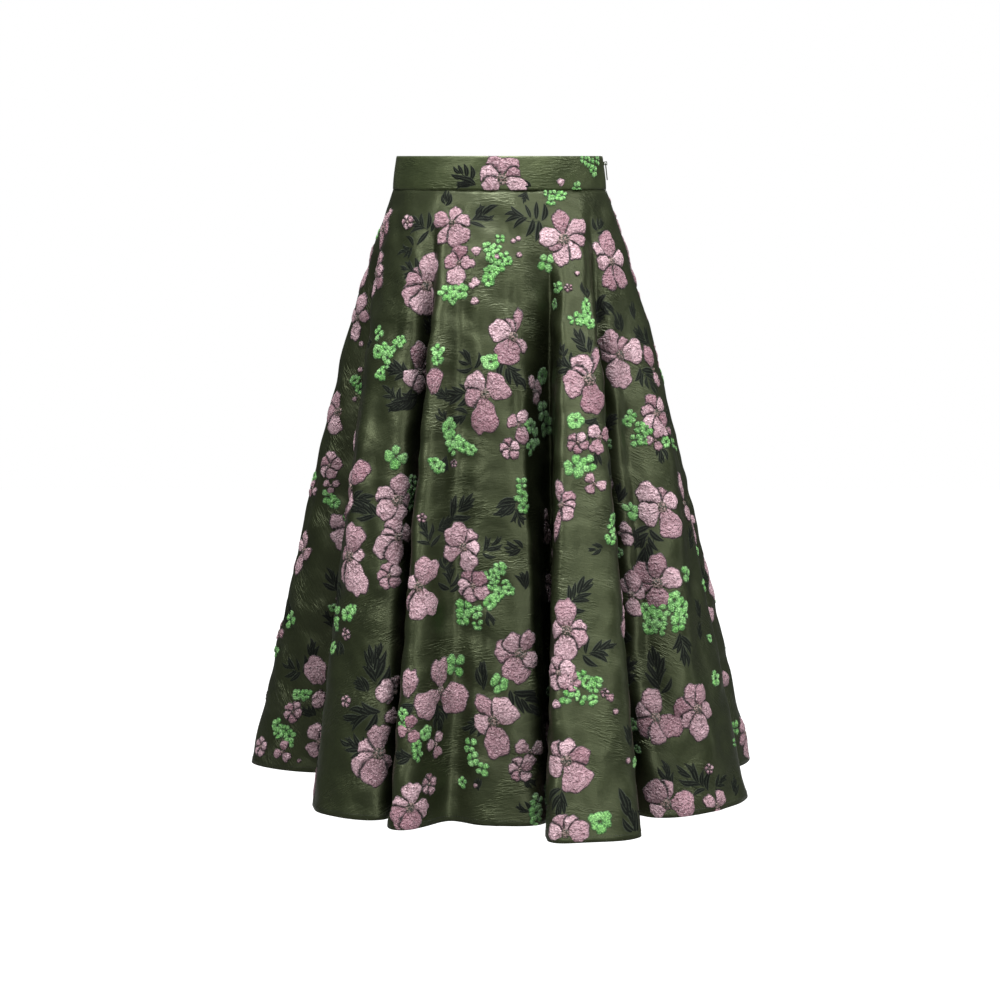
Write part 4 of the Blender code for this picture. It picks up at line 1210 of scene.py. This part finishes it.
def zip_coil(skirt, band, material):
    """The coil's turns, on the rib of the tape inside the side seam."""
    points, faces = [], []
    places = np.concatenate([skirt.points[::-1, 0], band.points[::-1, 0]])
    normals = np.concatenate([skirt.normal[::-1, 0], band.normal[::-1, 0]])
    turn = np.arange(6) * math.tau / 6
    for i, height in enumerate(np.arange(COIL_BOTTOM, COIL_TOP, COIL_PITCH)):
        place = np.array([np.interp(height, places[:, 2], places[:, axis]) for axis in range(3)])
        out = np.array([np.interp(height, places[:, 2], normals[:, axis]) for axis in range(2)] + [0.0])
        out /= np.linalg.norm(out)
        along = np.cross(out, UP)
        centre = place - out * COIL_INSIDE
        offset = COIL_STAGGER if i % 2 else -COIL_STAGGER
        ring = centre + np.outer(np.cos(turn) * COIL_DEPTH, out) + np.outer(np.sin(turn) * COIL_RISE, UP)
        for reach in (offset - COIL_HALF_WIDTH, offset + COIL_HALF_WIDTH):
            points += list(ring + along * reach)
        first = i * 12
        for side in range(6):
            after = (side + 1) % 6
            faces.append((first + side, first + after, first + 6 + after, first + 6 + side))
        faces.append(tuple(range(first + 5, first - 1, -1)))
        faces.append(tuple(range(first + 6, first + 12)))
    return add_piece("zip_coil", np.array(points), faces, material, smooth=False)


# ---- Light -----------------------------------------------------------------------------------------

AMBIENT = 0.08
FLOOR_HEIGHT, FLOOR_REACH = -1.06, 5.0  # in metres
FLOOR_PALE = 0.2  # how much light it throws back at the cloth

# Soft boxes: their name, azimuth from the front towards +X, elevation, size in metres and power in watts.
LIGHT_DISTANCE = 3.6
SOFT_BOXES = (
    ("top", 0, 88, 1.2, 145),
    ("front low", 14, 5, 1.2, 24),
    ("front high", 28, 40, 1.2, 36),
    ("right low", 85, 5, 1.2, 6),
    ("right high", 74, 42, 1.2, 32),
    ("left high", -36, 36, 1.2, 56),
    ("left", -85, 26, 1.2, 1),
    ("back", 178, 22, 1.4, 48),
)


def add_light(name, azimuth, elevation, size, power):
    data = bpy.data.lights.new(name, "AREA")
    data.size, data.energy = size, power
    light = bpy.data.objects.new(name, data)
    azimuth, elevation = math.radians(azimuth), math.radians(elevation)
    level = math.cos(elevation)
    way = Vector((math.sin(azimuth) * level, -math.cos(azimuth) * level, math.sin(elevation)))
    light.location = Vector((0, 0, -DROP / 2 * MM)) + way * LIGHT_DISTANCE
    light.rotation_euler = way.to_track_quat("Z", "Y").to_euler()
    bpy.context.scene.collection.objects.link(light)


def mix_shaders(tree, share, first, second, output):
    """Sends a mix of two shaders to an output."""
    mix = tree.nodes.new("ShaderNodeMixShader")
    for source, socket in ((share, mix.inputs["Fac"]), (first, mix.inputs[1]), (second, mix.inputs[2])):
        tree.links.new(source, socket)
    tree.links.new(mix.outputs["Shader"], tree.nodes[output].inputs["Surface"])


def add_world():
    """White to the camera, as the photograph's ground is, and a dim even light on the cloth."""
    world = bpy.data.worlds.new("studio")
    world.use_nodes = True
    tree = world.node_tree
    dim, white = tree.nodes["Background"], tree.nodes.new("ShaderNodeBackground")
    for background in (dim, white):
        background.inputs["Color"].default_value = WHITE
    dim.inputs["Strength"].default_value = AMBIENT
    seen = tree.nodes.new("ShaderNodeLightPath").outputs["Is Camera Ray"]
    mix_shaders(tree, seen, dim.outputs["Background"], white.outputs["Background"], "World Output")
    bpy.context.scene.world = world


def add_floor():
    """A pale floor at the height where a wearer would stand, plain white to the camera, clear from below."""
    mesh = bpy.data.meshes.new("floor")
    corners = [(-1, -1), (1, -1), (1, 1), (-1, 1)]
    corners = [(x * FLOOR_REACH, y * FLOOR_REACH, FLOOR_HEIGHT) for x, y in corners]
    mesh.from_pydata(corners, [], [(0, 1, 2, 3)])
    material = bpy.data.materials.new("pale floor")
    material.use_nodes = True
    tree = material.node_tree
    shader = tree.nodes["Principled BSDF"]
    shader.inputs["Base Color"].default_value = (FLOOR_PALE, FLOOR_PALE, FLOOR_PALE, 1)
    shader.inputs["Roughness"].default_value = 0.9
    shader.inputs["Emission Color"].default_value = WHITE
    seen = tree.nodes.new("ShaderNodeLightPath").outputs["Is Camera Ray"]
    tree.links.new(seen, shader.inputs["Emission Strength"])
    clear = tree.nodes.new("ShaderNodeBsdfTransparent").outputs["BSDF"]
    below = tree.nodes.new("ShaderNodeNewGeometry").outputs["Backfacing"]
    mix_shaders(tree, below, shader.outputs["BSDF"], clear, "Material Output")
    mesh.materials.append(material)
    floor = bpy.data.objects.new("floor", mesh)
    bpy.context.scene.collection.objects.link(floor)
    floor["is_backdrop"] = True


# ---- Putting it together ----------------------------------------------------------------------------


def find_on_band(x, y):
    """The waistband's place at (across, down) in millimetres, with no turn."""
    return (x / BAND_HALF_GIRTH * BAND_COLUMNS / 2, y / BAND_HEIGHT * (BAND_ROWS - 1)), 0


def lay_seen(cloth, tables, pinks_at, greens, leaves):
    """Lays out the motifs that the photograph shows, and returns the blossoms' places."""
    blossoms, shaped, dots, sprays = tables
    taken = []
    for place, blossom in seen_places(cloth, blossoms):
        pinks_at(place).blossom(place, *blossom)
        taken.append(place)
    for place, blossom in seen_places(cloth, shaped):
        pinks_at(place).shaped(place, *blossom)
        taken.append(place)
    for place, (width,) in seen_places(cloth, dots):
        greens.green(place, width)
    for place, (direction, count, length, spread) in seen_places(cloth, sprays):
        leaves.spray(place, direction, count, length * PIXEL, spread)
    return taken


def lay_repeat(find, corner, tables, pinks, greens, leaves):
    """Lays out one repeat of the chart from its corner, where find has a place for its motifs."""
    blossoms, dots, sprays = tables
    for across, down, kind, turn, scale in blossoms:
        found = find(corner[0] + across, corner[1] + down)
        if found:
            pinks.blossom(found[0], kind, turn + found[1], scale)
    for across, down, width in dots:
        found = find(corner[0] + across, corner[1] + down)
        if found:
            greens.green(found[0], width)
    for across, down, direction, count, length, spread in sprays:
        found = find(corner[0] + across, corner[1] + down)
        if found:
            leaves.spray(found[0], direction + found[1], count, length, spread)


def add_motifs(skirt, band):
    """The pink blossoms of each panel, and the lime blossoms and dark leaves of the whole skirt."""
    band.cover(BAND_CLOTH)
    fronts, backs, greens, leaves = (Motifs(skirt, CLOTH / 2, PUFF) for _ in range(4))
    band_motifs = [Motifs(band, BAND_CLOTH / 2, BAND_PUFF) for _ in range(3)]
    band_pinks, band_greens, band_leaves = band_motifs

    def pinks_at(place):
        return fronts if place[0] % skirt.columns >= PLAIN_SEAM * STEPS else backs

    taken = skirt.at(lay_seen(skirt, FRONT_MOTIFS, pinks_at, greens, leaves))
    lay_seen(band, BAND_MOTIFS, lambda place: band_pinks, band_greens, band_leaves)

    def free(place):
        """True where the photograph doesn't show the cloth and no blossom seen in it is near."""
        point = skirt.at([place], CLEAR_LIFT)[0]
        if np.linalg.norm(taken - point, axis=1).min() < CLEAR_OF_SEEN:
            return False
        point = Vector(point * MM)
        hit = skirt.rays.ray_cast(point, (CAMERA_AT - point).normalized())[0]
        return hit is not None or point.y > BEHIND

    for motifs in (fronts, backs, greens, leaves):
        motifs.fine = False
    for panel, pinks in ((BACK_PANEL, backs), (FRONT_PANEL, fronts)):
        on_panel = panel_finder(skirt, panel)

        def find(x, y):
            found = on_panel(x, y)
            return found if found and free(found[0]) else None

        for i in REPEATS_ACROSS:
            for j in REPEATS_DOWN:
                corner = (i + REPEAT_SHIFT * (j % 2)) * REPEAT_WIDTH, REPEAT_TOP + j * REPEAT_HEIGHT
                lay_repeat(find, corner, REPEAT_MOTIFS, pinks, greens, leaves)
    lay_repeat(find_on_band, (BAND_REPEAT_START, 0), BAND_REPEAT_MOTIFS, *band_motifs)

    pink, lime, leaf = blossom_material(), green_material(), leaf_material()
    gathered = (
        ("blossoms_front", fronts, pink),
        ("blossoms_back", backs, pink),
        ("greens", greens, lime),
        ("leaves", leaves, leaf),
        ("band_blossoms", band_pinks, pink),
        ("band_greens", band_greens, lime),
        ("band_leaves", band_leaves, leaf),
    )
    return {name: motifs.piece(name, material) for name, motifs, material in gathered}


def main():
    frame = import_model()
    cad_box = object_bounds()
    add_camera()

    skirt, band = make_skirt(), make_band()
    crease_cloth(skirt)
    dent_cloth(skirt)
    skirt.cover(CLOTH)
    skirt.find_open()
    jacquard = jacquard_material("olive jacquard")
    drops = -BAND_HEIGHT / 2 - skirt.points[:, 0, 2]
    thickness = np.where(drops > DROP - HEM_TURN, CLOTH + HEM_EXTRA, CLOTH)
    seam = PLAIN_SEAM * STEPS
    cloth_back = shell("cloth_back", skirt, range(seam + 1), thickness, jacquard, BACK_PANEL)
    front_columns = range(seam, skirt.columns + 1)
    cloth_front = shell("cloth_front", skirt, front_columns, thickness, jacquard, FRONT_PANEL)
    band_cloth = jacquard_material("waistband jacquard", BAND_PAINTED_SHEEN)
    band_thickness = np.full(BAND_ROWS, BAND_CLOTH)
    band_thickness[0] = BAND_EDGE
    half = BAND_COLUMNS // 2
    band_back = shell("band_back", band, range(half + 1), band_thickness, band_cloth)
    band_front = shell("band_front", band, range(half, BAND_COLUMNS + 1), band_thickness, band_cloth)

    pieces = add_motifs(skirt, band)
    thread = plain_material("dark thread", (0.012, 0.016, 0.01), (0.03, 0.036, 0.022), 0.6)
    stitches = hem_stitches(skirt, thread)
    tape = plain_material("zip tape", (0.012, 0.017, 0.01), (0.03, 0.038, 0.022), 0.8, bump=0.0003)
    coil = plain_material("zip coil", (0.02, 0.026, 0.016), (0.035, 0.042, 0.028), 0.35)
    metal = plain_material("dark zip metal", (0.03, 0.038, 0.026), (0.05, 0.06, 0.04), 0.35, 0.8, 300.0)
    for name, material in (("zip_tape", tape), ("zip_slider", metal), ("zip_pull", metal)):
        frame["nodes"][name].material_slots[0].material = material
    teeth = zip_coil(skirt, band, coil)

    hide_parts("skirt_front")
    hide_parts("skirt_back")
    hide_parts("waistband_front")
    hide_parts("waistband_back")

    add_world()
    add_floor()
    for box in SOFT_BOXES:
        add_light(*box)
    bpy.context.scene.view_settings.view_transform = "Standard"
    sizes = {"cad": cad_box, "visual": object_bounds()}
    {key: [[float(v) for v in corner] for corner in box] for key, box in sizes.items()}


main()
